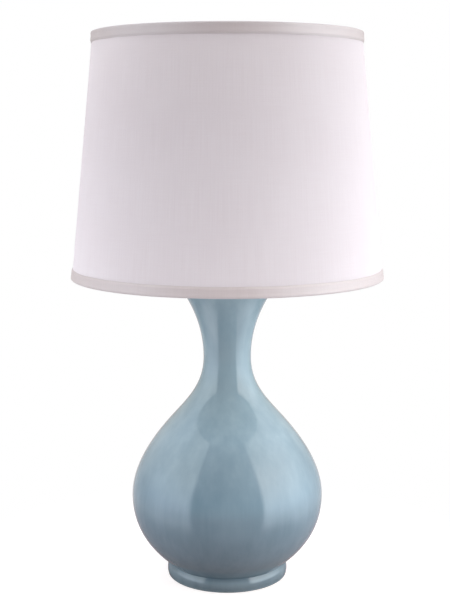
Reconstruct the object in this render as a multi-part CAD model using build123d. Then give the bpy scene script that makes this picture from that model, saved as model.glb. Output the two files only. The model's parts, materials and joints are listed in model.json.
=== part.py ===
from build123d import *
from math import cos, radians, sin, tan
import os

# Table lamp: a glazed, bottle-shaped ceramic base under a tapered, hard-backed fabric shade.
# Millimetres, +Z up. The origin is the centre of the felt's underside, on the surface that the
# lamp stands on. The front is -Y, the cord inlet is at the back, and the harp lies in XZ.
# Outlines of turned pieces are drawn flat as (radius, height) and revolved about Z.

# ---- clearances ---------------------------------------------------------------------------
GLUE_GAP = 0.05          # between layers that are glued, pressed or welded together
THREAD_FIT = 0.06        # radial, between a thread and its nut
RUNNING_FIT = 0.08       # radial, between a piece that turns or slides and its bearing
SEAT_GAP = 0.1           # between a piece that lifts or turns and its seat
SLIP_GAP = 0.15          # radial, between fixed pieces that are slipped over each other
OPEN_GAP = 0.4           # around a piece that comes out freely

# ---- ceramic body -------------------------------------------------------------------------
FOOT_RADIUS = 70.4       # at the foot ring's fullest point
FOOT_HEIGHT = 15.6
FOOT_ROUND = 1.0         # at the foot ring's bottom edge
FOOT_BULGE = 0.6         # how far the ring's side swells
FOOT_RING_WIDTH = 11.5
CREASE_STEP = 2.5        # from the foot ring's fullest point in to where the belly meets it
CREASE_LEAN = 45.0       # degrees outward from vertical
BELLY_RADIUS = 111.4
BELLY_HEIGHT = 96.5
SHOULDER_RADIUS = 62.0
SHOULDER_HEIGHT = 192.0
SHOULDER_LEAN = -42.0
NECK_RADIUS = 27.5
NECK_HEIGHT = 260.4
MOUTH_RADIUS = 53.5
MOUTH_HEIGHT = 340.0
MOUTH_LEAN = 34.7
CERAMIC_WALL = 6.0
LIP_ROUND = 2.2
RECESS_DEPTH = 12.6      # hollow under the base, inside the foot ring
FLOOR_THICKNESS = 7.0
PIPE_HOLE_RADIUS = 5.4

# ---- felt and cord inlet ------------------------------------------------------------------
FELT_THICKNESS = 1.2
FELT_INSET = 0.8         # depth of the rebate that the felt sits in
FELT_MARGIN = 3.0        # felt stops this far inside the foot's flat underside
INLET_HEIGHT = 7.4       # above the foot's bottom
INLET_BORE_RADIUS = 3.0
BUSHING_WALL = 0.9
BUSHING_FLANGE_RADIUS = 4.9
BUSHING_FLANGE_THICKNESS = 1.2

# ---- pipe and its clamping hardware -------------------------------------------------------
PIPE_RADIUS = 4.85       # 1/8 IP running thread
PIPE_BORE_RADIUS = 3.2
PIPE_TAIL = 1.8          # thread left below the bottom nut
BOTTOM_WASHER_RADIUS = 15.0
BOTTOM_WASHER_THICKNESS = 1.2
LOCK_WASHER_RADIUS = 8.2
LOCK_WASHER_THICKNESS = 1.5
LOCK_WASHER_SPLIT = 1.0
NUT_ACROSS_FLATS = 14.3
BOTTOM_NUT_THICKNESS = 3.6
SADDLE_NUT_THICKNESS = 3.2
NUT_CHAMFER = 0.6
CAP_SHEET = 1.2          # spun vase cap
CAP_SETBACK = 3.1        # the cap stops this far inside the mouth's edge
CAP_RISE = 10.0
CAP_CROWN = 2.2          # how far the cap's flank bows above a straight line
CAP_LAND_RADIUS = 14.0
CAP_SKIRT_DEPTH = 5.0
CHECK_RING_RADIUS = 12.7
CHECK_RING_THICKNESS = 2.4
CHECK_RING_ROUND = 0.8
SPACER_RADIUS = 10.5
SPACER_WAIST_RADIUS = 7.6
SPACER_HEIGHT = 12.0
SPACER_RIM = 2.0

# ---- harp ---------------------------------------------------------------------------------
SADDLE_SHEET = 1.6
SADDLE_WIDTH = 12.7
SADDLE_FLAT = 30.0       # length of the saddle's level floor, between its bends
SADDLE_RISE = 13.0       # from the saddle's floor to its shoulders
SADDLE_UPRIGHT = 4.0     # straight run below each shoulder
SADDLE_BEND = 5.0
TONGUE_WIDTH = 4.0
TONGUE_HEIGHT = 8.0
HARP_HEIGHT = 239.4      # saddle floor to shade seat
HARP_FOOT_SPACING = 72.0
HARP_WIDTH = 116.0
HARP_WIRE_RADIUS = 1.8
HARP_FOOT_RADIUS = 3.1
HARP_FOOT_HEIGHT = 11.0
HARP_STRAIGHT = 38.0     # upright run at the bottom of each leg, over which the sleeve slides
HARP_FLARE = 66.0        # height over which a leg swings outward
HARP_SHOULDER = 52.0     # height of the closing curve under the top
HARP_TOP_SPAN = 74.0     # width of the level top, between its corners
HARP_BENDS = (60.0, 120.0, 80.0, 22.0)   # bend radii, from the foot up
SLEEVE_WALL = 0.9
SLEEVE_HEIGHT = 13.0
SLEEVE_FLANGE = 0.6
LUG_RADIUS = 8.6
LUG_THICKNESS = 2.4
STUD_SHANK_RADIUS = 2.45
STUD_HEAD_RADIUS = 4.0
STUD_HEAD_THICKNESS = 1.4
STUD_SEAT_RADIUS = 7.6
STUD_SEAT_THICKNESS = 1.6
STUD_POST_RADIUS = 3.15  # 1/4-27 thread
STUD_POST_LENGTH = 11.5
STUD_POST_CHAMFER = 0.6

# ---- shade --------------------------------------------------------------------------------
SHADE_TOP_RADIUS = 151.0     # outside, at the trim
SHADE_BOTTOM_RADIUS = 178.2
SHADE_HEIGHT = 273.8
TRIM_WIDTH = 12.0
TRIM_THICKNESS = 1.3
TRIM_CORNER = 2.0        # rounding of the shade's outer edge
FABRIC_THICKNESS = 0.4
LINER_THICKNESS = 0.8
RING_WIRE_RADIUS = 1.6
SPIDER_DROP = 19.5           # from the shade's top edge down to the hub's floor
SPIDER_ARM_COUNT = 3
SPIDER_WIRE_RADIUS = 1.6
SPIDER_TOE = 7.0             # level run beside the ring
SPIDER_SLOPE = 24.0          # radial length of each arm's slope
SPIDER_BEND = 8.0
HUB_PLATE_RADIUS = 13.0
HUB_PLATE_HOLE_RADIUS = 4.0
HUB_PLATE_THICKNESS = 2.0
HUB_PLATE_RIM = 2.4          # width of the raised rim that the arms are welded to
HUB_PLATE_RIM_HEIGHT = 1.8

# ---- finial -------------------------------------------------------------------------------
FINIAL_BASE_RADIUS = 7.8
FINIAL_BASE_THICKNESS = 2.2
FINIAL_WAIST_RADIUS = 4.9
FINIAL_WAIST_HEIGHT = 6.0
FINIAL_BALL_RADIUS = 7.4
FINIAL_BALL_HEIGHT = 14.0
FINIAL_HEIGHT = 23.5
FINIAL_TIP_RADIUS = 1.4
FINIAL_BORE_SPARE = 1.7      # bore left above the stud's end

# ---- socket -------------------------------------------------------------------------------
SOCKET_RADIUS = 17.4         # outside of the cap's rim
SOCKET_HEIGHT = 60.0
SOCKET_SHEET = 0.6
SOCKET_CAP_HEIGHT = 24.0
SOCKET_HUB_RADIUS = 8.2
SOCKET_HUB_HEIGHT = 8.0
SOCKET_CAP_RIM = 7.0         # straight rim that grips the shell
SHELL_BEAD = 0.8             # how far the shell's bead stands out, above the cap's rim
PIPE_STOP = 0.6              # pipe ends this far below the hub's top
PAPER_THICKNESS = 0.5
PAPER_GAP = 0.3
PAPER_SETBACK = 2.5          # paper stops this far below the shell's mouth
SWITCH_BODY_BOTTOM = 12.0    # these four are heights above the socket's bottom
SWITCH_BODY_WAIST = 20.0
SWITCH_AXIS_HEIGHT = 29.0
SWITCH_BODY_TOP = 34.0
SWITCH_BODY_FOOT_RADIUS = 9.0
TERMINAL_HEIGHT = 22.0       # above the socket's bottom
TERMINAL_FLAT_DEPTH = 3.0    # how deep each terminal's flat is cut
TERMINAL_FLAT_SIZE = 8.0
TERMINAL_HEAD_RADIUS = 2.6
TERMINAL_HEAD_THICKNESS = 1.3
TERMINAL_SHANK_RADIUS = 1.4
TERMINAL_SHANK_LENGTH = 4.0
SCREW_SLOT = 0.7
SCREW_SLOT_DEPTH = 0.6
SET_SCREW_RADIUS = 1.5
SET_SCREW_HEAD_RADIUS = 2.6
SET_SCREW_HEAD_THICKNESS = 1.6
THREAD_RADIUS = 12.9         # bulb base's mean thread radius
THREAD_DEPTH = 0.8
THREAD_PITCH = 3.63
BULB_TURNS = 5
SOCKET_TURNS = 6
SCREW_SHELL_SHEET = 0.4
CONTACT_HOLE_RADIUS = 8.0
CONTACT_WIDTH = 4.0
CONTACT_LENGTH = 9.0
CONTACT_RISE = 3.2
CONTACT_SHEET = 0.5
SHAFT_RADIUS = 1.8
SHAFT_DEPTH = 9.0            # how far the shaft reaches into the switch body
SHAFT_REACH = 16.0           # how far it stands out of the shell
SHELL_PORT_RADIUS = 3.2
KNOB_COLLAR_RADIUS = 4.6
KNOB_COLLAR_LENGTH = 5.0
KNOB_PADDLE_RADIUS = 7.0
KNOB_PADDLE_THICKNESS = 3.6
KNOB_LENGTH = 15.0

# ---- bulb ---------------------------------------------------------------------------------
BULB_RADIUS = 30.0
BULB_LENGTH = 110.0
BULB_WIDEST = 80.0           # height of the widest point above the tip
BULB_SEAM_RADIUS = 27.0      # where globe and housing meet
BULB_SEAM_HEIGHT = 58.0
BULB_NECK_RADIUS = 13.6
BULB_NECK_RUN = 12.0         # how far the neck's curve starts out straight
BULB_TIP_RADIUS = 4.2
BULB_TIP_HEIGHT = 1.6
BULB_INSULATOR_HEIGHT = 4.0
BULB_BASE_SHEET = 0.4
BULB_WALL = 1.2
BOARD_THICKNESS = 1.6
BOARD_DROP = 3.0             # below the seam
BOARD_MARGIN = 0.3           # between the board's rim and the housing
LED_COUNT = 8
LED_SIZE = 3.2
LED_THICKNESS = 0.7
LED_CIRCLE_RADIUS = 15.0
ROUNDNESS = 0.5523           # a Bezier curve's handle for a quarter circle, as a share of its radius

# ---- places that follow from the sizes above ----------------------------------------------
FOOT_BOTTOM = FELT_THICKNESS - FELT_INSET
FOOT_FLAT_RADIUS = FOOT_RADIUS - FOOT_BULGE - FOOT_ROUND
CREASE_RADIUS = FOOT_RADIUS - CREASE_STEP
FELT_RADIUS = FOOT_FLAT_RADIUS - FELT_MARGIN
RECESS_RADIUS = FOOT_RADIUS - FOOT_RING_WIDTH
CREASE_HEIGHT = FOOT_BOTTOM + FOOT_HEIGHT
RECESS_CEILING = FOOT_BOTTOM + RECESS_DEPTH
FLOOR_TOP = RECESS_CEILING + FLOOR_THICKNESS
INLET_Z = FOOT_BOTTOM + INLET_HEIGHT
BOTTOM_WASHER_BOTTOM = RECESS_CEILING - BOTTOM_WASHER_THICKNESS
BOTTOM_NUT_TOP = BOTTOM_WASHER_BOTTOM - LOCK_WASHER_THICKNESS
BOTTOM_NUT_BOTTOM = BOTTOM_NUT_TOP - BOTTOM_NUT_THICKNESS
PIPE_BOTTOM = BOTTOM_NUT_BOTTOM - PIPE_TAIL
CAP_TOP = MOUTH_HEIGHT + CAP_RISE
CAP_RADIUS = MOUTH_RADIUS - CAP_SETBACK
SPACER_BOTTOM = CAP_TOP + CHECK_RING_THICKNESS
SADDLE_BOTTOM = SPACER_BOTTOM + SPACER_HEIGHT
SADDLE_FLOOR = SADDLE_BOTTOM + SADDLE_SHEET
SADDLE_SHOULDER = SADDLE_FLOOR + SADDLE_RISE
SOCKET_BOTTOM = SADDLE_FLOOR + SADDLE_NUT_THICKNESS
PIPE_TOP = SOCKET_BOTTOM + SOCKET_HUB_HEIGHT - PIPE_STOP
CAP_RIM_TOP = SOCKET_BOTTOM + SOCKET_CAP_HEIGHT
SHELL_BOTTOM = CAP_RIM_TOP - SOCKET_CAP_RIM
SHELL_TOP = SOCKET_BOTTOM + SOCKET_HEIGHT
SWITCH_AXIS_Z = SOCKET_BOTTOM + SWITCH_AXIS_HEIGHT
SWITCH_TOP_Z = SOCKET_BOTTOM + SWITCH_BODY_TOP
CONTACT_TOP = SWITCH_TOP_Z + CONTACT_SHEET + CONTACT_RISE
BULB_TIP = CONTACT_TOP + SEAT_GAP
BULB_BASE_BOTTOM = BULB_TIP + BULB_TIP_HEIGHT + BULB_INSULATOR_HEIGHT
BULB_BASE_TOP = BULB_BASE_BOTTOM + BULB_TURNS * THREAD_PITCH
BULB_SEAM_Z = BULB_TIP + BULB_SEAM_HEIGHT
SHADE_SEAT = SADDLE_FLOOR + HARP_HEIGHT
LUG_TOP = SHADE_SEAT - STUD_SEAT_THICKNESS - SEAT_GAP
LUG_BOTTOM = LUG_TOP - LUG_THICKNESS
HARP_TOP = (LUG_TOP + LUG_BOTTOM) / 2
HARP_FOOT_BOTTOM = SADDLE_SHOULDER + SEAT_GAP
HUB_PLATE_BOTTOM = SHADE_SEAT + SEAT_GAP
HUB_PLATE_TOP = HUB_PLATE_BOTTOM + HUB_PLATE_THICKNESS
SPIDER_ARM_Z = HUB_PLATE_BOTTOM + SPIDER_WIRE_RADIUS
SHADE_TOP = HUB_PLATE_TOP + SPIDER_DROP
SHADE_BOTTOM = SHADE_TOP - SHADE_HEIGHT
FINIAL_BOTTOM = HUB_PLATE_TOP + SEAT_GAP

HARP_FOOT_X = HARP_FOOT_SPACING / 2
PIPE_PASS_RADIUS = PIPE_RADIUS + SLIP_GAP
SHELL_RADIUS = SOCKET_RADIUS - SOCKET_SHEET - SLIP_GAP
PAPER_RADIUS = SHELL_RADIUS - SOCKET_SHEET - PAPER_GAP
SWITCH_BODY_RADIUS = PAPER_RADIUS - PAPER_THICKNESS - PAPER_GAP
SCREW_SHELL_RADIUS = THREAD_RADIUS + THREAD_DEPTH + OPEN_GAP
TAPER = (SHADE_BOTTOM_RADIUS - SHADE_TOP_RADIUS) / SHADE_HEIGHT
FABRIC_DEPTH = TRIM_THICKNESS + GLUE_GAP
LINER_DEPTH = FABRIC_DEPTH + FABRIC_THICKNESS + GLUE_GAP
RING_DEPTH = LINER_DEPTH + LINER_THICKNESS + GLUE_GAP + RING_WIRE_RADIUS
RING_INSET = TRIM_THICKNESS + GLUE_GAP + RING_WIRE_RADIUS      # ring's centre below the edge
TOP_RING_Z = SHADE_TOP - RING_INSET
BOTTOM_RING_Z = SHADE_BOTTOM + RING_INSET

parts = {}


# ---- drawing helpers ----------------------------------------------------------------------
def turned(outline):
    """The solid that a flat (radius, height) outline sweeps about Z."""
    return revolve(Plane.XZ * outline, Axis.Z)


def polygon(*points):
    """A flat face with straight sides."""
    return make_face(Polyline(*points, close=True))


def closed_face(curves, *points):
    """A flat face bounded by joined curves, then by straight lines through points to the start."""
    closing = Polyline(curves[-1] @ 1, *points, curves[0] @ 0)
    return make_face([*curves, *closing.edges()])


def tube(inner, outer, bottom, top):
    """A round washer or tube on the Z axis."""
    return turned(polygon((inner, bottom), (outer, bottom), (outer, top), (inner, top)))


def disc(radius, bottom, top):
    """A round solid on the Z axis."""
    return Pos(0, 0, (bottom + top) / 2) * Cylinder(radius, top - bottom)


def rod_along_y(radius, start, end, z):
    """A round bar parallel to Y."""
    return Pos(0, (start + end) / 2, z) * Rot(90, 0, 0) * Cylinder(radius, abs(end - start))


def rod_along_x(radius, start, end, z):
    """A round bar parallel to X."""
    return Pos((start + end) / 2, 0, z) * Rot(0, 90, 0) * Cylinder(radius, abs(end - start))


def bent_rod(radius, path):
    """A round wire that follows a path of lines and arcs."""
    section = Plane(path @ 0, z_dir=path % 0) * Circle(radius)
    return sweep(section, path)


def hexagon_nut(bottom, thickness):
    """A hexagon nut for the pipe, with the corners of both faces chamfered."""
    blank = extrude(RegularPolygon(NUT_ACROSS_FLATS / 2, 6, major_radius=False), thickness)
    corner_radius = NUT_ACROSS_FLATS / 2 / cos(radians(30))
    low = NUT_CHAMFER
    high = thickness - NUT_CHAMFER
    rim = corner_radius - NUT_CHAMFER
    turned_blank = turned(polygon((0, 0), (rim, 0), (corner_radius, low), (corner_radius, high),
                                  (rim, thickness), (0, thickness)))
    nut = Pos(0, 0, bottom) * (blank & turned_blank)
    return nut - disc(PIPE_RADIUS + THREAD_FIT, bottom - thickness, bottom + 2 * thickness)


def thread_wave(radius, bottom, turns):
    """A rounded screw thread's outline, rising: half-pitch arcs that swell out and in by turns."""
    half = THREAD_PITCH / 2
    arcs = []
    for k in range(2 * turns):
        low = bottom + k * half
        swell = THREAD_DEPTH / 2 * (-1) ** k
        arcs.append(ThreePointArc((radius, low), (radius + swell, low + half / 2), (radius, low + half)))
    return arcs


# ---- ceramic body -------------------------------------------------------------------------
STATIONS = [
    (CREASE_RADIUS, CREASE_HEIGHT, CREASE_LEAN),
    (BELLY_RADIUS, BELLY_HEIGHT, 0.0),
    (SHOULDER_RADIUS, SHOULDER_HEIGHT, SHOULDER_LEAN),
    (NECK_RADIUS, NECK_HEIGHT, 0.0),
    (MOUTH_RADIUS, MOUTH_HEIGHT, MOUTH_LEAN),
]
# How far each curve runs on along its end directions, as a share of its rise: (lower, upper).
FULLNESS = [(0.18, 0.595), (0.395, 0.31), (0.385, 0.455), (0.33, 0.40)]


def flank(inset):
    """The body's side as smooth curves through its stations, moved into the wall by inset."""
    placed = []
    for radius, height, lean in STATIONS:
        along = Vector(sin(radians(lean)), cos(radians(lean)))
        into_wall = Vector(-along.Y, along.X)
        placed.append((Vector(radius, height) + into_wall * inset, along))
    curves = []
    for (low, low_way), (high, high_way), (low_share, high_share) in zip(placed, placed[1:], FULLNESS):
        rise = high.Y - low.Y
        low_handle = low + low_way * (rise * low_share)
        high_handle = high - high_way * (rise * high_share)
        curves.append(Bezier(low, low_handle, high_handle, high))
    return curves


def mouth_inside(depth):
    """The least inner radius of the mouth at a depth below its rim."""
    lean = radians(MOUTH_LEAN)
    return MOUTH_RADIUS - CERAMIC_WALL / cos(lean) - depth * tan(lean)


def ceramic_whole():
    side_radius = FOOT_RADIUS - FOOT_BULGE
    side_bottom = FOOT_BOTTOM + FOOT_ROUND
    edge = RadiusArc((FOOT_FLAT_RADIUS, FOOT_BOTTOM), (side_radius, side_bottom), -FOOT_ROUND)
    side = ThreePointArc((side_radius, side_bottom), (FOOT_RADIUS, (side_bottom + CREASE_HEIGHT) / 2),
                         (CREASE_RADIUS, CREASE_HEIGHT))
    outside = turned(closed_face([edge, side, *flank(0)], (0, MOUTH_HEIGHT), (0, FOOT_BOTTOM)))
    inner = flank(CERAMIC_WALL)
    cavity = turned(closed_face(inner, (0, (inner[-1] @ 1).Y), (0, 0), ((inner[0] @ 0).X, 0)))
    cavity -= disc(2 * CREASE_RADIUS, -FLOOR_THICKNESS, FLOOR_TOP)
    body = outside - cavity
    lip = body.edges().filter_by(GeomType.CIRCLE).group_by(Axis.Z)[-1]
    body = fillet(lip, LIP_ROUND)
    body -= disc(FELT_RADIUS + SLIP_GAP, 0, FELT_THICKNESS)
    body -= disc(RECESS_RADIUS, 0, RECESS_CEILING)
    body -= disc(PIPE_HOLE_RADIUS, FOOT_BOTTOM, FLOOR_TOP + FLOOR_THICKNESS)
    inlet_radius = INLET_BORE_RADIUS + BUSHING_WALL + SLIP_GAP
    return body - rod_along_y(inlet_radius, RECESS_RADIUS / 2, 2 * FOOT_RADIUS, INLET_Z)


def ceramic_section(whole, bottom, top):
    """The body is cast in sections with flat ends, which are luted together face to face."""
    return whole & disc(2 * BELLY_RADIUS, bottom, top)


def felt_pad():
    return disc(FELT_RADIUS, 0, FELT_THICKNESS)


def cord_bushing():
    """A rubber grommet through the back of the foot ring, with its flange outside."""
    outer_face = FOOT_RADIUS + GLUE_GAP
    bushing = rod_along_y(INLET_BORE_RADIUS + BUSHING_WALL, RECESS_RADIUS, outer_face, INLET_Z)
    flange_end = outer_face + BUSHING_FLANGE_THICKNESS
    bushing += rod_along_y(BUSHING_FLANGE_RADIUS, outer_face, flange_end, INLET_Z)
    return bushing - rod_along_y(INLET_BORE_RADIUS, 0, 2 * FOOT_RADIUS, INLET_Z)


# ---- pipe and its clamping hardware -------------------------------------------------------
def lock_washer():
    ring = tube(PIPE_PASS_RADIUS, LOCK_WASHER_RADIUS, BOTTOM_NUT_TOP, BOTTOM_WASHER_BOTTOM)
    split = Box(LOCK_WASHER_SPLIT, 2 * LOCK_WASHER_RADIUS, 4 * LOCK_WASHER_THICKNESS,
                align=(Align.CENTER, Align.MIN, Align.CENTER))
    return ring - Pos(0, 0, BOTTOM_NUT_TOP) * split


def vase_cap():
    """A spun brass cap that sits on the mouth's rim and is centred by a skirt inside it."""
    skirt = mouth_inside(CAP_SKIRT_DEPTH) - OPEN_GAP
    brim_top = MOUTH_HEIGHT + CAP_SHEET
    middle = (CAP_LAND_RADIUS + CAP_RADIUS) / 2
    flank_top = ThreePointArc((CAP_RADIUS, brim_top), (middle, (brim_top + CAP_TOP) / 2 + CAP_CROWN),
                              (CAP_LAND_RADIUS, CAP_TOP))
    outside = closed_face([flank_top], (0, CAP_TOP), (0, MOUTH_HEIGHT - CAP_SKIRT_DEPTH),
                          (skirt, MOUTH_HEIGHT - CAP_SKIRT_DEPTH), (skirt, MOUTH_HEIGHT),
                          (CAP_RADIUS, MOUTH_HEIGHT))
    inner_skirt = skirt - CAP_SHEET
    middle = (CAP_LAND_RADIUS + inner_skirt) / 2
    under_land = CAP_TOP - CAP_SHEET
    flank_bottom = ThreePointArc((inner_skirt, MOUTH_HEIGHT),
                                 (middle, (MOUTH_HEIGHT + under_land) / 2 + CAP_CROWN),
                                 (CAP_LAND_RADIUS, under_land))
    hollow = closed_face([flank_bottom], (0, under_land), (0, MOUTH_HEIGHT - 2 * CAP_SKIRT_DEPTH),
                         (inner_skirt, MOUTH_HEIGHT - 2 * CAP_SKIRT_DEPTH))
    return turned(outside) - turned(hollow) - disc(PIPE_PASS_RADIUS, MOUTH_HEIGHT, CAP_TOP + CAP_RISE)


def check_ring():
    ring = tube(PIPE_PASS_RADIUS, CHECK_RING_RADIUS, CAP_TOP, SPACER_BOTTOM)
    top_edge = ring.edges().filter_by(GeomType.CIRCLE).group_by(Axis.Z)[-1].sort_by(SortBy.RADIUS)[-1]
    return fillet(top_edge, CHECK_RING_ROUND)


def neck_spacer():
    """A turned spool between the check ring and the harp's saddle."""
    low = SPACER_BOTTOM + SPACER_RIM
    high = SADDLE_BOTTOM - SPACER_RIM
    middle = (SPACER_WAIST_RADIUS, (low + high) / 2)
    waist = ThreePointArc((SPACER_RADIUS, low), middle, (SPACER_RADIUS, high))
    return turned(closed_face([waist], (SPACER_RADIUS, SADDLE_BOTTOM), (PIPE_PASS_RADIUS, SADDLE_BOTTOM),
                              (PIPE_PASS_RADIUS, SPACER_BOTTOM), (SPACER_RADIUS, SPACER_BOTTOM)))


# ---- harp ---------------------------------------------------------------------------------
def harp_saddle():
    """A bent strip: a floor on the pipe, sloping arms, and a narrow tongue up each end."""
    level = SADDLE_BOTTOM + SADDLE_SHEET / 2
    knee = SADDLE_SHOULDER - SADDLE_UPRIGHT
    tip = SADDLE_SHOULDER + TONGUE_HEIGHT
    right = [(SADDLE_FLAT / 2, level), (HARP_FOOT_X, knee), (HARP_FOOT_X, tip)]
    left = [(-x, z) for x, z in reversed(right)]
    strip = Plane.XZ * trace(FilletPolyline(*left, *right, radius=SADDLE_BEND), SADDLE_SHEET)
    saddle = extrude(strip, SADDLE_WIDTH / 2, both=True)
    side = (SADDLE_WIDTH - TONGUE_WIDTH) / 2
    for way in (-1, 1):
        waste = Box(3 * HARP_FOOT_SPACING, side, 2 * TONGUE_HEIGHT,
                    align=(Align.CENTER, Align.CENTER, Align.MIN))
        saddle -= Pos(0, way * (SADDLE_WIDTH - side) / 2, SADDLE_SHOULDER) * waste
    return saddle - disc(PIPE_PASS_RADIUS, SPACER_BOTTOM, SOCKET_BOTTOM)


def harp_wire():
    """The bowed wire with its two slotted feet and the lug that carries the shade's seat."""
    straight_top = HARP_FOOT_BOTTOM + HARP_STRAIGHT
    widest = HARP_WIDTH / 2
    wire_start = HARP_FOOT_BOTTOM + TONGUE_HEIGHT + OPEN_GAP
    right = [(HARP_FOOT_X, wire_start), (HARP_FOOT_X, straight_top), (widest, straight_top + HARP_FLARE),
             (widest, HARP_TOP - HARP_SHOULDER), (HARP_TOP_SPAN / 2, HARP_TOP)]
    points = [(x, 0, z) for x, z in right] + [(-x, 0, z) for x, z in reversed(right)]
    harp = bent_rod(HARP_WIRE_RADIUS, FilletPolyline(*points, radius=[*HARP_BENDS, *reversed(HARP_BENDS)]))
    for x in (-HARP_FOOT_X, HARP_FOOT_X):
        foot = disc(HARP_FOOT_RADIUS, HARP_FOOT_BOTTOM, HARP_FOOT_BOTTOM + HARP_FOOT_HEIGHT)
        harp += Pos(x, 0, 0) * foot
        slot = Box(SADDLE_SHEET + 2 * SLIP_GAP, TONGUE_WIDTH + 2 * SLIP_GAP, TONGUE_HEIGHT + OPEN_GAP,
                   align=(Align.CENTER, Align.CENTER, Align.MIN))
        harp -= Pos(x, 0, HARP_FOOT_BOTTOM) * slot
    harp += disc(LUG_RADIUS, LUG_BOTTOM, LUG_TOP)
    harp -= disc(STUD_SHANK_RADIUS + RUNNING_FIT, LUG_BOTTOM - HARP_WIRE_RADIUS, LUG_TOP + HARP_WIRE_RADIUS)
    # The stud's seat and head turn on flats, sunk where the wire is thicker than the lug.
    spot = STUD_SEAT_RADIUS + OPEN_GAP
    harp -= disc(spot, LUG_TOP, LUG_TOP + 2 * HARP_WIRE_RADIUS)
    return harp - disc(spot, LUG_BOTTOM - 2 * HARP_WIRE_RADIUS, LUG_BOTTOM)


def harp_sleeve(side):
    """A short tube that slides down over a harp foot and locks it on the saddle's tongue."""
    inner = HARP_FOOT_RADIUS + RUNNING_FIT
    outer = inner + SLEEVE_WALL
    rim = outer + SLEEVE_FLANGE
    bottom = HARP_FOOT_BOTTOM
    top = bottom + SLEEVE_HEIGHT
    sleeve = turned(polygon((inner, bottom), (rim, bottom), (rim, bottom + SLEEVE_FLANGE),
                            (outer, bottom + 2 * SLEEVE_FLANGE), (outer, top), (inner, top)))
    return Pos(side * HARP_FOOT_X, 0, 0) * sleeve


def shade_seat():
    """The swivel stud: riveted head, shank, flat seat and threaded post."""
    shank_bottom = LUG_BOTTOM - SEAT_GAP
    seat_bottom = LUG_TOP + SEAT_GAP
    post_top = SHADE_SEAT + STUD_POST_LENGTH
    post_shoulder = post_top - STUD_POST_CHAMFER
    head_bottom = shank_bottom - STUD_HEAD_THICKNESS
    head_side = head_bottom + STUD_POST_CHAMFER
    return turned(polygon((0, head_bottom), (STUD_HEAD_RADIUS - STUD_POST_CHAMFER, head_bottom),
                          (STUD_HEAD_RADIUS, head_side), (STUD_HEAD_RADIUS, shank_bottom),
                          (STUD_SHANK_RADIUS, shank_bottom), (STUD_SHANK_RADIUS, seat_bottom),
                          (STUD_SEAT_RADIUS, seat_bottom), (STUD_SEAT_RADIUS, SHADE_SEAT),
                          (STUD_POST_RADIUS, SHADE_SEAT), (STUD_POST_RADIUS, post_shoulder),
                          (STUD_POST_RADIUS - STUD_POST_CHAMFER, post_top), (0, post_top)))


# ---- shade --------------------------------------------------------------------------------
def shade_radius(z, depth):
    """The shade's radius at a height, measured in from its outermost surface by depth."""
    return SHADE_TOP_RADIUS + TAPER * (SHADE_TOP - z) - depth


def shade_layer(depth, thickness):
    """A conical layer that runs from ring to ring under the trim."""
    edge = TRIM_THICKNESS + GLUE_GAP
    low = SHADE_BOTTOM + edge
    high = SHADE_TOP - edge
    return turned(polygon((shade_radius(low, depth + thickness), low), (shade_radius(low, depth), low),
                          (shade_radius(high, depth), high), (shade_radius(high, depth + thickness), high)))


def wire_ring(z):
    section = Pos(shade_radius(z, RING_DEPTH), z) * Circle(RING_WIRE_RADIUS)
    return turned(section)


def trim(edge, ring_z, way):
    """Folded tape: a band outside, over the shade's edge, round the ring and back to the liner.
    way is 1 for the top edge and -1 for the bottom edge."""
    band_end = edge - way * TRIM_WIDTH
    bend = TRIM_THICKNESS + GLUE_GAP + RING_WIRE_RADIUS
    ring_radius = shade_radius(ring_z, RING_DEPTH)
    band = polygon((shade_radius(band_end, 0), band_end), (shade_radius(edge, 0), edge),
                   (ring_radius, edge), (ring_radius, ring_z),
                   (shade_radius(ring_z, TRIM_THICKNESS), ring_z),
                   (shade_radius(band_end, TRIM_THICKNESS), band_end))
    outer_corner = band.vertices().sort_by_distance(Vector(shade_radius(edge, 0), edge))[0]
    band = fillet(outer_corner, TRIM_CORNER)
    tape = band + Pos(ring_radius, ring_z) * Circle(bend)
    tape -= Pos(ring_radius, ring_z) * Circle(RING_WIRE_RADIUS + GLUE_GAP)
    layers_end = edge - way * TRIM_THICKNESS
    deep = edge - way * 2 * TRIM_WIDTH
    layers = polygon((shade_radius(layers_end, TRIM_THICKNESS), layers_end),
                     (shade_radius(layers_end, RING_DEPTH - RING_WIRE_RADIUS), layers_end),
                     (shade_radius(deep, RING_DEPTH - RING_WIRE_RADIUS), deep),
                     (shade_radius(deep, TRIM_THICKNESS), deep))
    return turned(tape - layers)


def spider_arm_path():
    """One arm's centre line in XZ, from the hub plate's rim out and up to the ring."""
    outer_end = shade_radius(TOP_RING_Z, RING_DEPTH) - RING_WIRE_RADIUS - GLUE_GAP
    toe = outer_end - SPIDER_TOE
    inner_end = HUB_PLATE_RADIUS + GLUE_GAP
    return FilletPolyline((inner_end, 0, SPIDER_ARM_Z), (toe - SPIDER_SLOPE, 0, SPIDER_ARM_Z),
                          (toe, 0, TOP_RING_Z), (outer_end, 0, TOP_RING_Z), radius=SPIDER_BEND)


def around_shade(shape):
    """Copies of a shape drawn along +X, one for each spider arm, the first one at the back."""
    return [Rot(0, 0, 90 + k * 360 / SPIDER_ARM_COUNT) * shape for k in range(SPIDER_ARM_COUNT)]


def spider_hub():
    rim_top = HUB_PLATE_TOP + HUB_PLATE_RIM_HEIGHT
    rim_inside = HUB_PLATE_RADIUS - HUB_PLATE_RIM
    return turned(polygon((HUB_PLATE_HOLE_RADIUS, HUB_PLATE_BOTTOM), (HUB_PLATE_RADIUS, HUB_PLATE_BOTTOM),
                          (HUB_PLATE_RADIUS, rim_top), (rim_inside, rim_top), (rim_inside, HUB_PLATE_TOP),
                          (HUB_PLATE_HOLE_RADIUS, HUB_PLATE_TOP)))


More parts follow.
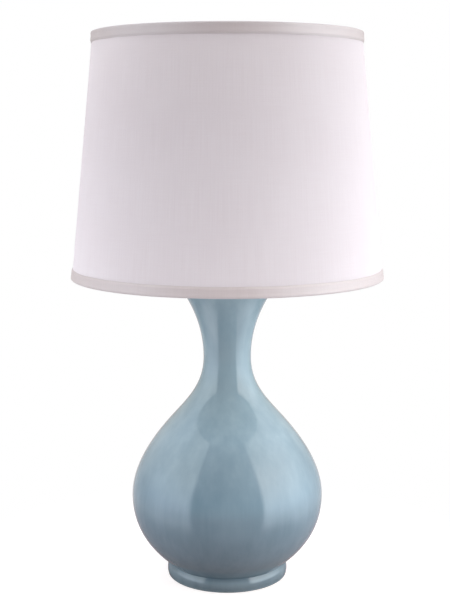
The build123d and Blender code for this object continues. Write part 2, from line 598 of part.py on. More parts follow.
def trim_top():
    """The top trim, slit on its inner side where each spider arm meets the ring."""
    tape = trim(SHADE_TOP, TOP_RING_Z, 1)
    ring_radius = shade_radius(TOP_RING_Z, RING_DEPTH)
    slit = rod_along_x(SPIDER_WIRE_RADIUS + OPEN_GAP, ring_radius - SPIDER_TOE, ring_radius, TOP_RING_Z)
    for cut in around_shade(slit):
        tape -= cut
    return tape


# ---- finial -------------------------------------------------------------------------------
def finial():
    """A turned knob: foot, waist, ball and a small tip, threaded onto the swivel stud."""
    foot_top = FINIAL_BOTTOM + FINIAL_BASE_THICKNESS
    waist_z = FINIAL_BOTTOM + FINIAL_WAIST_HEIGHT
    ball_z = FINIAL_BOTTOM + FINIAL_BALL_HEIGHT
    top = FINIAL_BOTTOM + FINIAL_HEIGHT
    waist = Bezier((FINIAL_BASE_RADIUS, foot_top), (FINIAL_WAIST_RADIUS, foot_top),
                   (FINIAL_WAIST_RADIUS, waist_z))
    rise = (ball_z - waist_z) / 2
    lower = Bezier((FINIAL_WAIST_RADIUS, waist_z), (FINIAL_WAIST_RADIUS, waist_z + rise),
                   (FINIAL_BALL_RADIUS, ball_z - rise), (FINIAL_BALL_RADIUS, ball_z))
    upper = Bezier((FINIAL_BALL_RADIUS, ball_z), (FINIAL_BALL_RADIUS, ball_z + rise),
                   (FINIAL_TIP_RADIUS, ball_z + rise), (FINIAL_TIP_RADIUS, top))
    knob = turned(closed_face([waist, lower, upper], (0, top), (0, FINIAL_BOTTOM),
                              (FINIAL_BASE_RADIUS, FINIAL_BOTTOM)))
    bore_top = SHADE_SEAT + STUD_POST_LENGTH + FINIAL_BORE_SPARE
    return knob - disc(STUD_POST_RADIUS + RUNNING_FIT, SHADE_SEAT, bore_top)


# ---- socket -------------------------------------------------------------------------------
def cap_wall(depth):
    """The socket cap's outline from hub to rim, moved in from its outside by depth."""
    hub_top = SOCKET_BOTTOM + SOCKET_HUB_HEIGHT
    low = (SOCKET_HUB_RADIUS - depth, hub_top + depth)
    high = (SOCKET_RADIUS - depth, SHELL_BOTTOM - depth)
    return Bezier(low, (SOCKET_RADIUS - depth, hub_top + depth), high)


def socket_cap():
    """A spun cup with a threaded hub, which holds the shell by its rim."""
    outside = closed_face([cap_wall(0)], (SOCKET_RADIUS, CAP_RIM_TOP), (0, CAP_RIM_TOP), (0, SOCKET_BOTTOM),
                          (SOCKET_HUB_RADIUS, SOCKET_BOTTOM))
    inner = SOCKET_RADIUS - SOCKET_SHEET
    hub_top = SOCKET_BOTTOM + SOCKET_HUB_HEIGHT
    hollow = closed_face([cap_wall(SOCKET_SHEET)], (inner, CAP_RIM_TOP), (0, CAP_RIM_TOP),
                         (0, hub_top + SOCKET_SHEET))
    cap = turned(outside) - turned(hollow) - disc(PIPE_RADIUS + THREAD_FIT, SOCKET_BOTTOM, CAP_RIM_TOP)
    return cap - rod_along_y(SET_SCREW_RADIUS + THREAD_FIT, 0, 2 * SOCKET_HUB_RADIUS,
                             SOCKET_BOTTOM + SOCKET_HUB_HEIGHT / 2)


def socket_set_screw():
    """Holds the cap against turning on the pipe; slotted head at the back."""
    z = SOCKET_BOTTOM + SOCKET_HUB_HEIGHT / 2
    head = SOCKET_HUB_RADIUS + GLUE_GAP
    head_end = head + SET_SCREW_HEAD_THICKNESS
    screw = rod_along_y(SET_SCREW_RADIUS, PIPE_RADIUS + SLIP_GAP, head, z)
    screw += rod_along_y(SET_SCREW_HEAD_RADIUS, head, head_end, z)
    slot = Box(4 * SET_SCREW_HEAD_RADIUS, 2 * SCREW_SLOT_DEPTH, SCREW_SLOT)
    return screw - Pos(0, head_end, z) * slot


def socket_shell():
    """The outer shell: a bead that stops it at the cap's rim, and a port for the switch shaft."""
    inner = SHELL_RADIUS - SOCKET_SHEET
    bead_bottom = CAP_RIM_TOP + GLUE_GAP
    bead_top = bead_bottom + 2 * SHELL_BEAD
    bulge = (SHELL_RADIUS + SHELL_BEAD, (bead_bottom + bead_top) / 2)
    bead = ThreePointArc((SHELL_RADIUS, bead_bottom), bulge, (SHELL_RADIUS, bead_top))
    shell = turned(closed_face([bead], (SHELL_RADIUS, SHELL_TOP), (inner, SHELL_TOP),
                               (inner, SHELL_BOTTOM), (SHELL_RADIUS, SHELL_BOTTOM)))
    return shell - rod_along_y(SHELL_PORT_RADIUS, -2 * SHELL_RADIUS, 0, SWITCH_AXIS_Z)


def insulating_sleeve():
    sleeve = tube(PAPER_RADIUS - PAPER_THICKNESS, PAPER_RADIUS, SHELL_BOTTOM, SHELL_TOP - PAPER_SETBACK)
    return sleeve - rod_along_y(SHELL_PORT_RADIUS, -2 * SHELL_RADIUS, 0, SWITCH_AXIS_Z)


def switch_body():
    """The moulded interior, with a flat for each terminal and a bore for the switch shaft."""
    bottom = SOCKET_BOTTOM + SWITCH_BODY_BOTTOM
    waist = SOCKET_BOTTOM + SWITCH_BODY_WAIST
    body = turned(polygon((0, bottom), (SWITCH_BODY_FOOT_RADIUS, bottom), (SWITCH_BODY_RADIUS, waist),
                          (SWITCH_BODY_RADIUS, SWITCH_TOP_Z), (0, SWITCH_TOP_Z)))
    for way in (-1, 1):
        flat = Box(TERMINAL_FLAT_DEPTH, TERMINAL_FLAT_SIZE, TERMINAL_FLAT_SIZE,
                   align=(Align.MIN, Align.CENTER, Align.CENTER))
        flat = Pos(SWITCH_BODY_RADIUS - TERMINAL_FLAT_DEPTH, 0, SOCKET_BOTTOM + TERMINAL_HEIGHT) * flat
        body -= Rot(0, 0, 90 - way * 90) * flat
    body -= rod_along_x(TERMINAL_SHANK_RADIUS + THREAD_FIT, -2 * SWITCH_BODY_RADIUS, 2 * SWITCH_BODY_RADIUS,
                        SOCKET_BOTTOM + TERMINAL_HEIGHT)
    return body - rod_along_y(SHAFT_RADIUS + RUNNING_FIT, -2 * SWITCH_BODY_RADIUS,
                              SHAFT_DEPTH - SWITCH_BODY_RADIUS + SEAT_GAP, SWITCH_AXIS_Z)


def terminal_screws():
    """Two wire-binding screws, one on each side of the switch body."""
    z = SOCKET_BOTTOM + TERMINAL_HEIGHT
    seat = SWITCH_BODY_RADIUS - TERMINAL_FLAT_DEPTH + GLUE_GAP
    end = seat + TERMINAL_HEAD_THICKNESS
    screw = rod_along_x(TERMINAL_SHANK_RADIUS, seat - TERMINAL_SHANK_LENGTH, seat, z)
    screw += rod_along_x(TERMINAL_HEAD_RADIUS, seat, end, z)
    screw -= Pos(end, 0, z) * Box(2 * SCREW_SLOT_DEPTH, 4 * TERMINAL_HEAD_RADIUS, SCREW_SLOT)
    return Compound(children=[screw, Rot(0, 0, 180) * screw])


def screw_shell():
    """The threaded shell that takes the bulb's base, with a floor on the switch body."""
    wave = thread_wave(SCREW_SHELL_RADIUS, SWITCH_TOP_Z, SOCKET_TURNS)
    outer_wave = thread_wave(SCREW_SHELL_RADIUS + SCREW_SHELL_SHEET, SWITCH_TOP_Z, SOCKET_TURNS)
    outside = closed_face(outer_wave, (0, (outer_wave[-1] @ 1).Y), (0, SWITCH_TOP_Z))
    inside = closed_face(wave, (0, (wave[-1] @ 1).Y), (0, SWITCH_TOP_Z))
    floor = tube(CONTACT_HOLE_RADIUS, SCREW_SHELL_RADIUS + SCREW_SHELL_SHEET / 2, SWITCH_TOP_Z,
                 SWITCH_TOP_Z + SCREW_SHELL_SHEET)
    return turned(outside) - turned(inside) + floor


def center_contact():
    """A springy strip, fixed flat at one end and bent up under the bulb's tip."""
    low = SWITCH_TOP_Z + CONTACT_SHEET / 2
    high = low + CONTACT_RISE
    half = CONTACT_LENGTH / 2
    path = Polyline((-half, low), (0, low), (half / 2, high), (-half / 2, high))
    strip = Plane.XZ * trace(path, CONTACT_SHEET)
    return extrude(strip, CONTACT_WIDTH / 2, both=True)


def switch_shaft():
    """The key's shaft: it turns in the switch body and sticks out through the shell's port."""
    inner_end = SHAFT_DEPTH - SWITCH_BODY_RADIUS
    return rod_along_y(SHAFT_RADIUS, inner_end, -SHELL_RADIUS - SHAFT_REACH, SWITCH_AXIS_Z)


def switch_knob():
    """The thumb key: a round collar on the shaft and a flat, rounded paddle."""
    outer_end = SHELL_RADIUS + SHAFT_REACH + KNOB_COLLAR_LENGTH / 2
    collar_start = outer_end - KNOB_LENGTH
    knob = rod_along_y(KNOB_COLLAR_RADIUS, -collar_start, -collar_start - KNOB_COLLAR_LENGTH, SWITCH_AXIS_Z)
    paddle = Rot(0, 90, 0) * Cylinder(KNOB_PADDLE_RADIUS, KNOB_PADDLE_THICKNESS)
    knob += Pos(0, KNOB_PADDLE_RADIUS - outer_end, SWITCH_AXIS_Z) * paddle
    return knob - rod_along_y(SHAFT_RADIUS + GLUE_GAP, 0, -SHELL_RADIUS - SHAFT_REACH, SWITCH_AXIS_Z)


# ---- bulb ---------------------------------------------------------------------------------
def bulb_profile(depth):
    """The bulb's glass and housing outlines, moved in from the outside by depth."""
    widest_z = BULB_TIP + BULB_WIDEST
    below = BULB_WIDEST - BULB_SEAM_HEIGHT
    narrowing = BULB_RADIUS - BULB_SEAM_RADIUS
    arc_radius = (below ** 2 + narrowing ** 2) / (2 * narrowing)
    lean = below / arc_radius
    seam = Vector(BULB_SEAM_RADIUS - depth, BULB_SEAM_Z)
    run = Vector(lean, (1 - lean ** 2) ** 0.5) * below
    neck = Vector(BULB_NECK_RADIUS - depth, BULB_BASE_TOP)
    housing = Bezier(neck, neck + Vector(0, BULB_NECK_RUN), seam - run, seam)
    side = BULB_RADIUS - depth
    lower = Bezier(seam, seam + run / 3, (side, widest_z - below / 3), (side, widest_z))
    top_z = BULB_TIP + BULB_LENGTH - depth
    dome = Bezier((side, widest_z), (side, widest_z + ROUNDNESS * (top_z - widest_z)),
                  (ROUNDNESS * side, top_z), (0, top_z))
    return housing, [lower, dome]


def bulb_housing():
    outside, _ = bulb_profile(0)
    inside, _ = bulb_profile(BULB_WALL)
    body = closed_face([outside], (0, BULB_SEAM_Z), (0, BULB_BASE_TOP))
    hollow = closed_face([inside], (0, BULB_SEAM_Z), (0, BULB_BASE_TOP))
    floor = disc(BULB_NECK_RADIUS - BULB_WALL / 2, BULB_BASE_TOP, BULB_BASE_TOP + BULB_WALL)
    return turned(body) - turned(hollow) + floor


def bulb_globe():
    _, outside = bulb_profile(0)
    _, inside = bulb_profile(BULB_WALL)
    return turned(closed_face(outside, (0, BULB_SEAM_Z))) - turned(closed_face(inside, (0, BULB_SEAM_Z)))


def bulb_base():
    """The bulb's threaded metal base, a thin shell open at the bottom."""
    wave = thread_wave(THREAD_RADIUS, BULB_BASE_BOTTOM, BULB_TURNS)
    solid = turned(closed_face(wave, (0, BULB_BASE_TOP), (0, BULB_BASE_BOTTOM)))
    bore = THREAD_RADIUS - THREAD_DEPTH / 2 - BULB_BASE_SHEET
    return solid - disc(bore, BULB_BASE_BOTTOM, BULB_BASE_TOP)


def bulb_insulator():
    low = BULB_TIP + BULB_TIP_HEIGHT
    return turned(polygon((0, low), (BULB_TIP_RADIUS, low), (THREAD_RADIUS, BULB_BASE_BOTTOM),
                          (0, BULB_BASE_BOTTOM)))


def bulb_tip():
    return disc(BULB_TIP_RADIUS, BULB_TIP, BULB_TIP + BULB_TIP_HEIGHT)


def led_board():
    """A disc whose edge follows the housing, which holds it all round."""
    top = BULB_SEAM_Z - BOARD_DROP
    well, _ = bulb_profile(BULB_WALL + BOARD_MARGIN)
    inside = turned(closed_face([well], (0, BULB_SEAM_Z), (0, BULB_BASE_TOP)))
    return inside & disc(BULB_RADIUS, top - BOARD_THICKNESS, top)


def leds():
    """A ring of small light sources on the board."""
    top = BULB_SEAM_Z - BOARD_DROP
    chips = []
    for k in range(LED_COUNT):
        chip = Box(LED_SIZE, LED_SIZE, LED_THICKNESS, align=(Align.CENTER, Align.CENTER, Align.MIN))
        chips.append(Rot(0, 0, k * 360 / LED_COUNT) * Pos(LED_CIRCLE_RADIUS, 0, top) * chip)
    return Compound(children=chips)


# ---- the assembly -------------------------------------------------------------------------
whole = ceramic_whole()
parts["ceramic_foot"] = ceramic_section(whole, 0, RECESS_CEILING)
parts["ceramic_belly"] = ceramic_section(whole, RECESS_CEILING, BELLY_HEIGHT)
parts["ceramic_shoulder"] = ceramic_section(whole, BELLY_HEIGHT, SHOULDER_HEIGHT)
parts["ceramic_neck"] = ceramic_section(whole, SHOULDER_HEIGHT, 2 * MOUTH_HEIGHT)
parts["felt_pad"] = felt_pad()
parts["cord_bushing"] = cord_bushing()
parts["lamp_pipe"] = tube(PIPE_BORE_RADIUS, PIPE_RADIUS, PIPE_BOTTOM, PIPE_TOP)
parts["bottom_washer"] = tube(PIPE_PASS_RADIUS, BOTTOM_WASHER_RADIUS, BOTTOM_WASHER_BOTTOM, RECESS_CEILING)
parts["lock_washer"] = lock_washer()
parts["bottom_nut"] = hexagon_nut(BOTTOM_NUT_BOTTOM, BOTTOM_NUT_THICKNESS)
parts["vase_cap"] = vase_cap()
parts["check_ring"] = check_ring()
parts["neck_spacer"] = neck_spacer()
parts["harp_saddle"] = harp_saddle()
parts["saddle_nut"] = hexagon_nut(SADDLE_FLOOR, SADDLE_NUT_THICKNESS)

parts["socket_cap"] = socket_cap()
parts["socket_set_screw"] = socket_set_screw()
parts["socket_shell"] = socket_shell()
parts["insulating_sleeve"] = insulating_sleeve()
parts["switch_body"] = switch_body()
parts["terminal_screws"] = terminal_screws()
parts["screw_shell"] = screw_shell()
parts["center_contact"] = center_contact()
parts["switch_shaft"] = switch_shaft()
parts["switch_knob"] = switch_knob()

parts["bulb_globe"] = bulb_globe()
parts["bulb_housing"] = bulb_housing()
parts["bulb_base"] = bulb_base()
parts["bulb_insulator"] = bulb_insulator()
parts["bulb_tip"] = bulb_tip()
parts["led_board"] = led_board()
parts["leds"] = leds()

parts["harp_wire"] = harp_wire()
parts["harp_sleeve_left"] = harp_sleeve(-1)
parts["harp_sleeve_right"] = harp_sleeve(1)
parts["shade_seat"] = shade_seat()

parts["spider_hub"] = spider_hub()
parts["spider_arms"] = Compound(children=around_shade(bent_rod(SPIDER_WIRE_RADIUS, spider_arm_path())))
parts["top_ring"] = wire_ring(TOP_RING_Z)
parts["bottom_ring"] = wire_ring(BOTTOM_RING_Z)
parts["shade_liner"] = shade_layer(LINER_DEPTH, LINER_THICKNESS)
parts["shade_fabric"] = shade_layer(FABRIC_DEPTH, FABRIC_THICKNESS)
parts["trim_top"] = trim_top()
parts["trim_bottom"] = trim(SHADE_BOTTOM, BOTTOM_RING_Z, -1)
parts["finial"] = finial()

os.makedirs("parts", exist_ok=True)
for name, shape in parts.items():
    export_step(shape, f"parts/{name}.step")
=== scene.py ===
import json
import math

import bmesh
import bpy
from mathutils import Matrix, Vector, noise


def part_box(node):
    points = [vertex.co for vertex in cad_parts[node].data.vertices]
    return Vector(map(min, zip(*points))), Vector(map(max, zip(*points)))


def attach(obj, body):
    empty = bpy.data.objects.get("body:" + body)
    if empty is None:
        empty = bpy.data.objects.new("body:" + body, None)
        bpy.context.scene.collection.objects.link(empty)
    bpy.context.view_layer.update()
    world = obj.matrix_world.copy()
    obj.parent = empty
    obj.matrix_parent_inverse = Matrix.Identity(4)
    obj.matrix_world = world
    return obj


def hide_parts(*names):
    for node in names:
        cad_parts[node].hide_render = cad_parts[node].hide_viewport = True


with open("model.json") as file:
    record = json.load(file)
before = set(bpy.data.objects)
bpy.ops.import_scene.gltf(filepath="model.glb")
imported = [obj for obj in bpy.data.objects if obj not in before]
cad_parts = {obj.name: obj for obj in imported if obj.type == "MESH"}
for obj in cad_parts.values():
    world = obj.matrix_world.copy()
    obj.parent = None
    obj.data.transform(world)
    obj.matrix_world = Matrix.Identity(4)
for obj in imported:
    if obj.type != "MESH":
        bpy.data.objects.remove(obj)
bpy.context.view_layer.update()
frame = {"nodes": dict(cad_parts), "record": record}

# Table lamp: glazed ceramic bottle base under a tapered fabric shade. Metres, in the CAD's frame.
# The pieces that hold their shape in CAD stay, with better finishes; the glazed body, the felt and
# the cloth pieces of the shade are built here, on the boxes of the nodes that they stand for.

MM = 0.001
NODES = frame["nodes"]
CERAMIC = [name for name in NODES if name.startswith("ceramic_")]


# ---- small helpers ------------------------------------------------------------------------
def span(node):
    """(lowest z, highest z, outer radius) of a round CAD node."""
    low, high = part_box(node)
    return low.z, high.z, max(high.x, high.y)


def body_span():
    """(lowest z, highest z) of the ceramic body, over its sections."""
    spans = [span(node) for node in CERAMIC]
    return min(s[0] for s in spans), max(s[1] for s in spans)


def shade_span():
    """The shade's bottom and top."""
    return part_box("trim_bottom")[0][2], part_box("trim_top")[1][2]


def bezier(a, b, c, d, steps):
    """Points of a cubic curve, without the last one."""
    points = []
    for k in range(steps):
        t = k / steps
        s = 1 - t
        points.append(tuple(s ** 3 * a[i] + 3 * s * s * t * b[i] + 3 * s * t * t * c[i] + t ** 3 * d[i]
                            for i in range(2)))
    return points


def arc(centre, radius, start, end, steps, way=1):
    """Points of a circular arc, in degrees, both ends included; upside down where way is -1."""
    points = []
    for k in range(steps + 1):
        angle = math.radians(start + (end - start) * k / steps)
        points.append((centre[0] + radius * math.cos(angle), centre[1] + way * radius * math.sin(angle)))
    return points


def line(a, b, steps):
    """Points of a straight line, without the last one."""
    return [(a[0] + (b[0] - a[0]) * k / steps, a[1] + (b[1] - a[1]) * k / steps) for k in range(steps)]


def even(turns):
    """That many even angles round the axis, in radians."""
    return [2 * math.pi * k / turns for k in range(turns)]


def smooth_step(low, high, value):
    """0 up to low and 1 from high on, with soft ends."""
    t = min(max((value - low) / (high - low), 0.0), 1.0)
    return t * t * (3 - 2 * t)


def sharpen(mesh, degrees):
    """Smooth shading, with the edges that turn by more than that many degrees kept sharp."""
    shape = bmesh.new()
    shape.from_mesh(mesh)
    bmesh.ops.recalc_face_normals(shape, faces=shape.faces)
    for face in shape.faces:
        face.smooth = True
    for edge in shape.edges:
        edge.smooth = len(edge.link_faces) == 2 and edge.calc_face_angle() < math.radians(degrees)
    shape.to_mesh(mesh)
    shape.free()


def lathe(name, outline, angles, sharp, shape):
    """A closed piece turned about Z, through these angles, from a closed outline of (radius, height).
    shape(radius, height, angle) gives the radius and height at an angle, for what isn't quite round.
    Its UV map, Run, is in metres: round the piece, and along the outline."""
    turns = len(angles)
    count = len(outline)
    vertices = []
    for angle in angles:
        for radius, height in outline:
            radius, height = shape(radius, height, angle)
            vertices.append((radius * math.cos(angle), radius * math.sin(angle), height))
    faces = []
    corners = []
    travel = [0.0]
    for a, b in zip(outline, outline[1:] + outline[:1]):
        travel.append(travel[-1] + math.dist(a, b))
    reach = max(radius for radius, height in outline)
    for i in range(turns):
        j = (i + 1) % turns
        u0 = angles[i] * reach
        u1 = (angles[j] if j else 2 * math.pi + angles[0]) * reach
        for k in range(count):
            n = (k + 1) % count
            faces.append((i * count + k, j * count + k, j * count + n, i * count + n))
            corners += [(u0, travel[k]), (u1, travel[k]), (u1, travel[k + 1]), (u0, travel[k + 1])]
    mesh = bpy.data.meshes.new(name)
    mesh.from_pydata(vertices, [], faces)
    layer = mesh.uv_layers.new(name="Run")
    layer.data.foreach_set("uv", [c for corner in corners for c in corner])
    sharpen(mesh, sharp)
    piece = bpy.data.objects.new(name, mesh)
    bpy.context.scene.collection.objects.link(piece)
    return piece


def dress(piece, body, slot, nodes, *materials):
    """Puts a new piece on its body, in place of its CAD nodes, with its finish."""
    for material in materials:
        piece.data.materials.append(material)
    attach(piece, body)
    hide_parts(*nodes)


# ---- colours of what the photograph shows ---------------------------------------------------
GLAZE_DEEP = (0.150, 0.228, 0.280)
GLAZE_PALE = (0.205, 0.290, 0.345)
GLAZE_POOL = (0.085, 0.145, 0.190)   # thick, in the crease over the foot
GLAZE_THIN = (0.300, 0.375, 0.415)   # over the lip and the foot's edge
# Painted light and shade by height, standing in for how the light fell on the glaze: darker low on the
# belly and at the foot, lighter over the shoulder and toward the mouth: (share of the height, tint).
GLAZE_PAINTED_LIGHT = [
    (0.00, (0.74, 0.71, 0.70)), (0.035, (1.02, 0.95, 0.92)), (0.055, (0.92, 0.87, 0.85)),
    (0.10, (0.83, 0.77, 0.76)),
    (0.20, (0.80, 0.77, 0.77)), (0.27, (0.86, 0.85, 0.85)), (0.34, (1.00, 1.00, 1.00)),
    (0.44, (1.18, 1.15, 1.12)), (0.52, (1.38, 1.33, 1.28)), (0.60, (1.34, 1.29, 1.22)),
    (0.75, (1.22, 1.16, 1.09)), (0.88, (1.38, 1.30, 1.21)), (1.00, (1.58, 1.47, 1.35)),
]
CLOTH_WHITE = (0.955, 0.90, 0.925)
CLOTH_SHADE = (0.905, 0.84, 0.865)
# Painted shade: the tape is the cloth's own white, and these colours are made darker than the cloth's to
# stand in for the light that its thicker layers don't pass.
TAPE_WHITE_PAINTED_SHADE = (0.665, 0.585, 0.58)
TAPE_DARK_PAINTED_SHADE = (0.60, 0.52, 0.51)
SHADE_PAINTED_DARKENING = (0.986, 0.770)        # painted shade: how bright the cloth is made, low and high on the shade
PAINTED_DARKENING_PAST = 0.35                   # share of the shade's height by which that runs past its edges

FOOT_HEIGHT = 15.6 * MM              # of the crease between the foot and the belly
POOL_REACH = 5 * MM                  # how far the thick glaze goes on each side of the crease
EDGE_REACH = 4 * MM                  # how far the thin glaze goes up from the foot's edge
LIP_REACH = 5 * MM                   # and down from the mouth's


# ---- materials ----------------------------------------------------------------------------
class Finish:
    """A material under construction. A node's inputs are set or linked by name, with _ for a space,
    or by number, as i0, i1 and so on."""

    def __init__(self, name):
        self.material = bpy.data.materials.new(name)
        self.material.use_nodes = True
        self.tree = self.material.node_tree
        self.surface = self.tree.nodes["Principled BSDF"]
        self.output = self.tree.nodes["Material Output"]

    def put(self, socket, value):
        if isinstance(value, bpy.types.NodeSocket):
            self.tree.links.new(value, socket)
        else:
            socket.default_value = value

    def set(self, node, **inputs):
        for key, value in inputs.items():
            numbered = key[0] == "i" and key[1:].isdigit()
            self.put(node.inputs[int(key[1:]) if numbered else key.replace("_", " ")], value)

    def add(self, kind, options=None, **inputs):
        node = self.tree.nodes.new("ShaderNode" + kind)
        for key, value in (options or {}).items():
            setattr(node, key, value)
        self.set(node, **inputs)
        return node

    def place(self):
        """The point on the piece, in metres."""
        return self.add("TexCoord").outputs["Object"]

    def run(self):
        """The piece's own UV map, in metres."""
        return self.add("UVMap", {"uv_map": "Run"}).outputs["UV"]

    def stretched(self, vector, scale):
        return self.add("Mapping", Vector=vector, Scale=scale).outputs["Vector"]

    def noise(self, vector, scale, detail=2.0, roughness=0.5, distortion=0.0):
        return self.add("TexNoise", Vector=vector, Scale=scale, Detail=detail, Roughness=roughness,
                        Distortion=distortion).outputs["Fac"]

    def math(self, operation, a, b=0.0):
        return self.add("Math", {"operation": operation}, i0=a, i1=b).outputs[0]

    def sum(self, a, share_a, b, share_b):
        """Two values added, each times its share."""
        return self.math("ADD", self.math("MULTIPLY", a, share_a), self.math("MULTIPLY", b, share_b))

    def between(self, value, low, high, out_low=0.0, out_high=1.0):
        """value from low..high to out_low..out_high, clamped, with soft ends."""
        node = self.add("MapRange", {"interpolation_type": "SMOOTHSTEP"}, i0=value, i1=low, i2=high,
                        i3=out_low, i4=out_high)
        return node.outputs[0]

    def mix(self, share, a, b):
        """Colour a, going to colour b with share."""
        node = self.add("Mix", {"data_type": "RGBA"}, i0=share)
        for socket, value in ((node.inputs[6], a), (node.inputs[7], b)):
            self.put(socket, value if isinstance(value, bpy.types.NodeSocket) else (*value, 1.0))
        return node.outputs[2]

    def times(self, colour, ramp):
        """A colour times a ramp's colour or value, which holds half the wanted factor."""
        halved = self.add("VectorMath", {"operation": "MULTIPLY"}, i0=colour, i1=ramp)
        return self.add("VectorMath", {"operation": "SCALE"}, i0=halved.outputs[0], Scale=2.0).outputs[0]

    def ramp(self, value, stops, scale=2.0):
        """A colour that runs through stops of (place, colour), held as the colour over scale."""
        node = self.add("ValToRGB", Fac=value)
        node.color_ramp.interpolation = "LINEAR"
        elements = node.color_ramp.elements
        while len(elements) < len(stops):
            elements.new(1.0)
        for element, (at, colour) in zip(elements, stops):
            element.position = at
            element.color = (*[c / scale for c in colour], 1.0)
        return node.outputs["Color"]

    def bump(self, height, depth, under=None):
        """A normal from a height of 0 to 1, which is depth metres deep, over the normal under it."""
        node = self.add("Bump", Height=height, Distance=depth, Strength=1.0)
        if under:
            self.put(node.inputs["Normal"], under)
        return node.outputs["Normal"]

    def let_through(self, colour, normal, share):
        """Mixes in light that comes through from behind."""
        behind = self.add("BsdfTranslucent", Color=colour, Normal=normal)
        both = self.add("MixShader", i0=share, i1=self.surface.outputs[0], i2=behind.outputs[0])
        self.put(self.output.inputs["Surface"], both.outputs[0])


def glaze():
    """Glossy blue-grey glaze: it pools deeper in the crease and breaks paler over edges."""
    bottom, top = body_span()
    f = Finish("glaze")
    place = f.place()
    height = f.add("SeparateXYZ", Vector=place).outputs["Z"]
    cloud = f.noise(place, 9.0, 4.0, 0.55)
    streak = f.noise(f.stretched(place, (60.0, 60.0, 7.0)), 1.0, 3.0, 0.6)
    fine = f.noise(place, 420.0, 3.0, 0.6)
    colour = f.mix(f.between(f.sum(cloud, 0.6, streak, 0.4), 0.32, 0.68), GLAZE_DEEP, GLAZE_PALE)
    # Painted light and shade: the glaze colour is made lighter or darker by height.
    colour = f.times(colour, f.ramp(f.math("DIVIDE", height, top), GLAZE_PAINTED_LIGHT))

    from_crease = f.math("ABSOLUTE", f.math("SUBTRACT", height, bottom + FOOT_HEIGHT))
    colour = f.mix(f.between(from_crease, 0.0, POOL_REACH, 0.55, 0.0), colour, GLAZE_POOL)
    foot_edge = f.between(height, bottom, bottom + EDGE_REACH, 0.5, 0.0)
    lip = f.between(height, top - LIP_REACH, top - 1 * MM, 0.0, 0.6)
    colour = f.mix(f.math("MAXIMUM", foot_edge, lip), colour, GLAZE_THIN)
    specks = f.add("TexVoronoi", {"feature": "F1"}, Vector=place, Scale=95.0, Randomness=1.0)
    speck = f.between(specks.outputs["Distance"], 0.05, 0.09, 0.22, 0.0)
    colour = f.mix(f.math("MULTIPLY", speck, f.between(fine, 0.5, 0.6)), colour, GLAZE_POOL)

    wave = f.bump(f.noise(place, 24.0, 2.0, 0.5), 0.25 * MM)
    f.set(f.surface, Base_Color=colour, Roughness=f.between(cloud, 0.3, 0.7, 0.045, 0.10), IOR=1.52,
          Normal=f.bump(f.noise(place, 520.0, 2.0, 0.5), 0.004 * MM, under=wave))
    return f.material


def bisque():
    """Bare fired clay, under the foot."""
    f = Finish("bisque")
    place = f.place()
    grain = f.noise(place, 900.0, 5.0, 0.7)
    cloud = f.noise(place, 40.0, 3.0, 0.5)
    f.set(f.surface, Base_Color=f.mix(cloud, (0.60, 0.52, 0.43), (0.72, 0.66, 0.57)), Roughness=0.9,
          Normal=f.bump(grain, 0.15 * MM))
    return f.material


def woven(name, colour, shade, pitch, slub, depth, through, sheen, rough):
    """Plain weave in the piece's own UV map: thread pitch and relief depth in metres, slub as the
    strength of its uneven threads, and through as the share of light that passes."""
    f = Finish(name)
    run = f.run()
    across = f.add("SeparateXYZ", Vector=run)
    turn = math.pi / pitch
    warp = f.math("SINE", f.math("MULTIPLY", across.outputs["X"], turn))
    weft = f.math("SINE", f.math("MULTIPLY", across.outputs["Y"], turn))
    weave = f.math("ADD", f.math("MULTIPLY", f.math("MULTIPLY", warp, weft), 0.5), 0.5)
    upright = f.noise(f.stretched(run, (900.0, 16.0, 1.0)), 1.0, 4.0, 0.6)
    level = f.noise(f.stretched(run, (22.0, 1100.0, 1.0)), 1.0, 4.0, 0.6)
    cloud = f.noise(f.stretched(run, (14.0, 14.0, 1.0)), 1.0, 2.0)
    thread = f.sum(upright, 0.65, level, 0.35)
    tone = f.math("ADD", f.sum(thread, slub, cloud, 0.25), f.math("MULTIPLY", weave, 0.18))
    low = 0.5 * (slub + 0.25) - 0.1
    mixed = f.mix(f.between(tone, low, low + 0.38), shade, colour)

    # Painted shade: the cloth and the tape are made darker toward the shade's top, standing in for the
    # light that fell more on its lower part.
    bottom, top = shade_span()
    past = PAINTED_DARKENING_PAST * (top - bottom)
    height = f.add("SeparateXYZ", Vector=f.place()).outputs["Z"]
    mixed = f.times(mixed, f.between(height, bottom - past, top + past, *[b / 2 for b in SHADE_PAINTED_DARKENING]))
    normal = f.bump(f.sum(weave, 0.6, thread, 0.8), depth)
    f.set(f.surface, Base_Color=mixed, Roughness=rough, Normal=normal, Sheen_Weight=sheen,
          Sheen_Roughness=0.5, Specular_IOR_Level=0.04 + 2.4 * sheen)
    f.let_through(mixed, normal, through)
    return f.material


def styrene():
    """The smooth white backing sheet inside the shade, with faint roller marks."""
    f = Finish("styrene")
    run = f.run()
    marks = f.noise(f.stretched(run, (6.0, 260.0, 1.0)), 1.0, 3.0)
    cloud = f.noise(f.stretched(run, (20.0, 20.0, 1.0)), 1.0, 2.0)
    colour = f.mix(cloud, (0.93, 0.92, 0.90), (0.96, 0.955, 0.94))
    normal = f.bump(marks, 0.02 * MM)
    f.set(f.surface, Base_Color=colour, Normal=normal,
          Roughness=f.between(marks, 0.3, 0.7, 0.34, 0.5))
    f.let_through(colour, normal, 0.6)
    return f.material


def glue_side():
    """The bonded faces between backing and cloth, which only pass light on."""
    f = Finish("glue_side")
    colour = f.mix(f.noise(f.run(), 50.0), (0.96, 0.955, 0.945), (0.98, 0.975, 0.965))
    f.set(f.surface, Base_Color=colour, Roughness=0.9)
    f.put(f.output.inputs["Surface"], f.add("BsdfTranslucent", Color=colour).outputs[0])
    return f.material


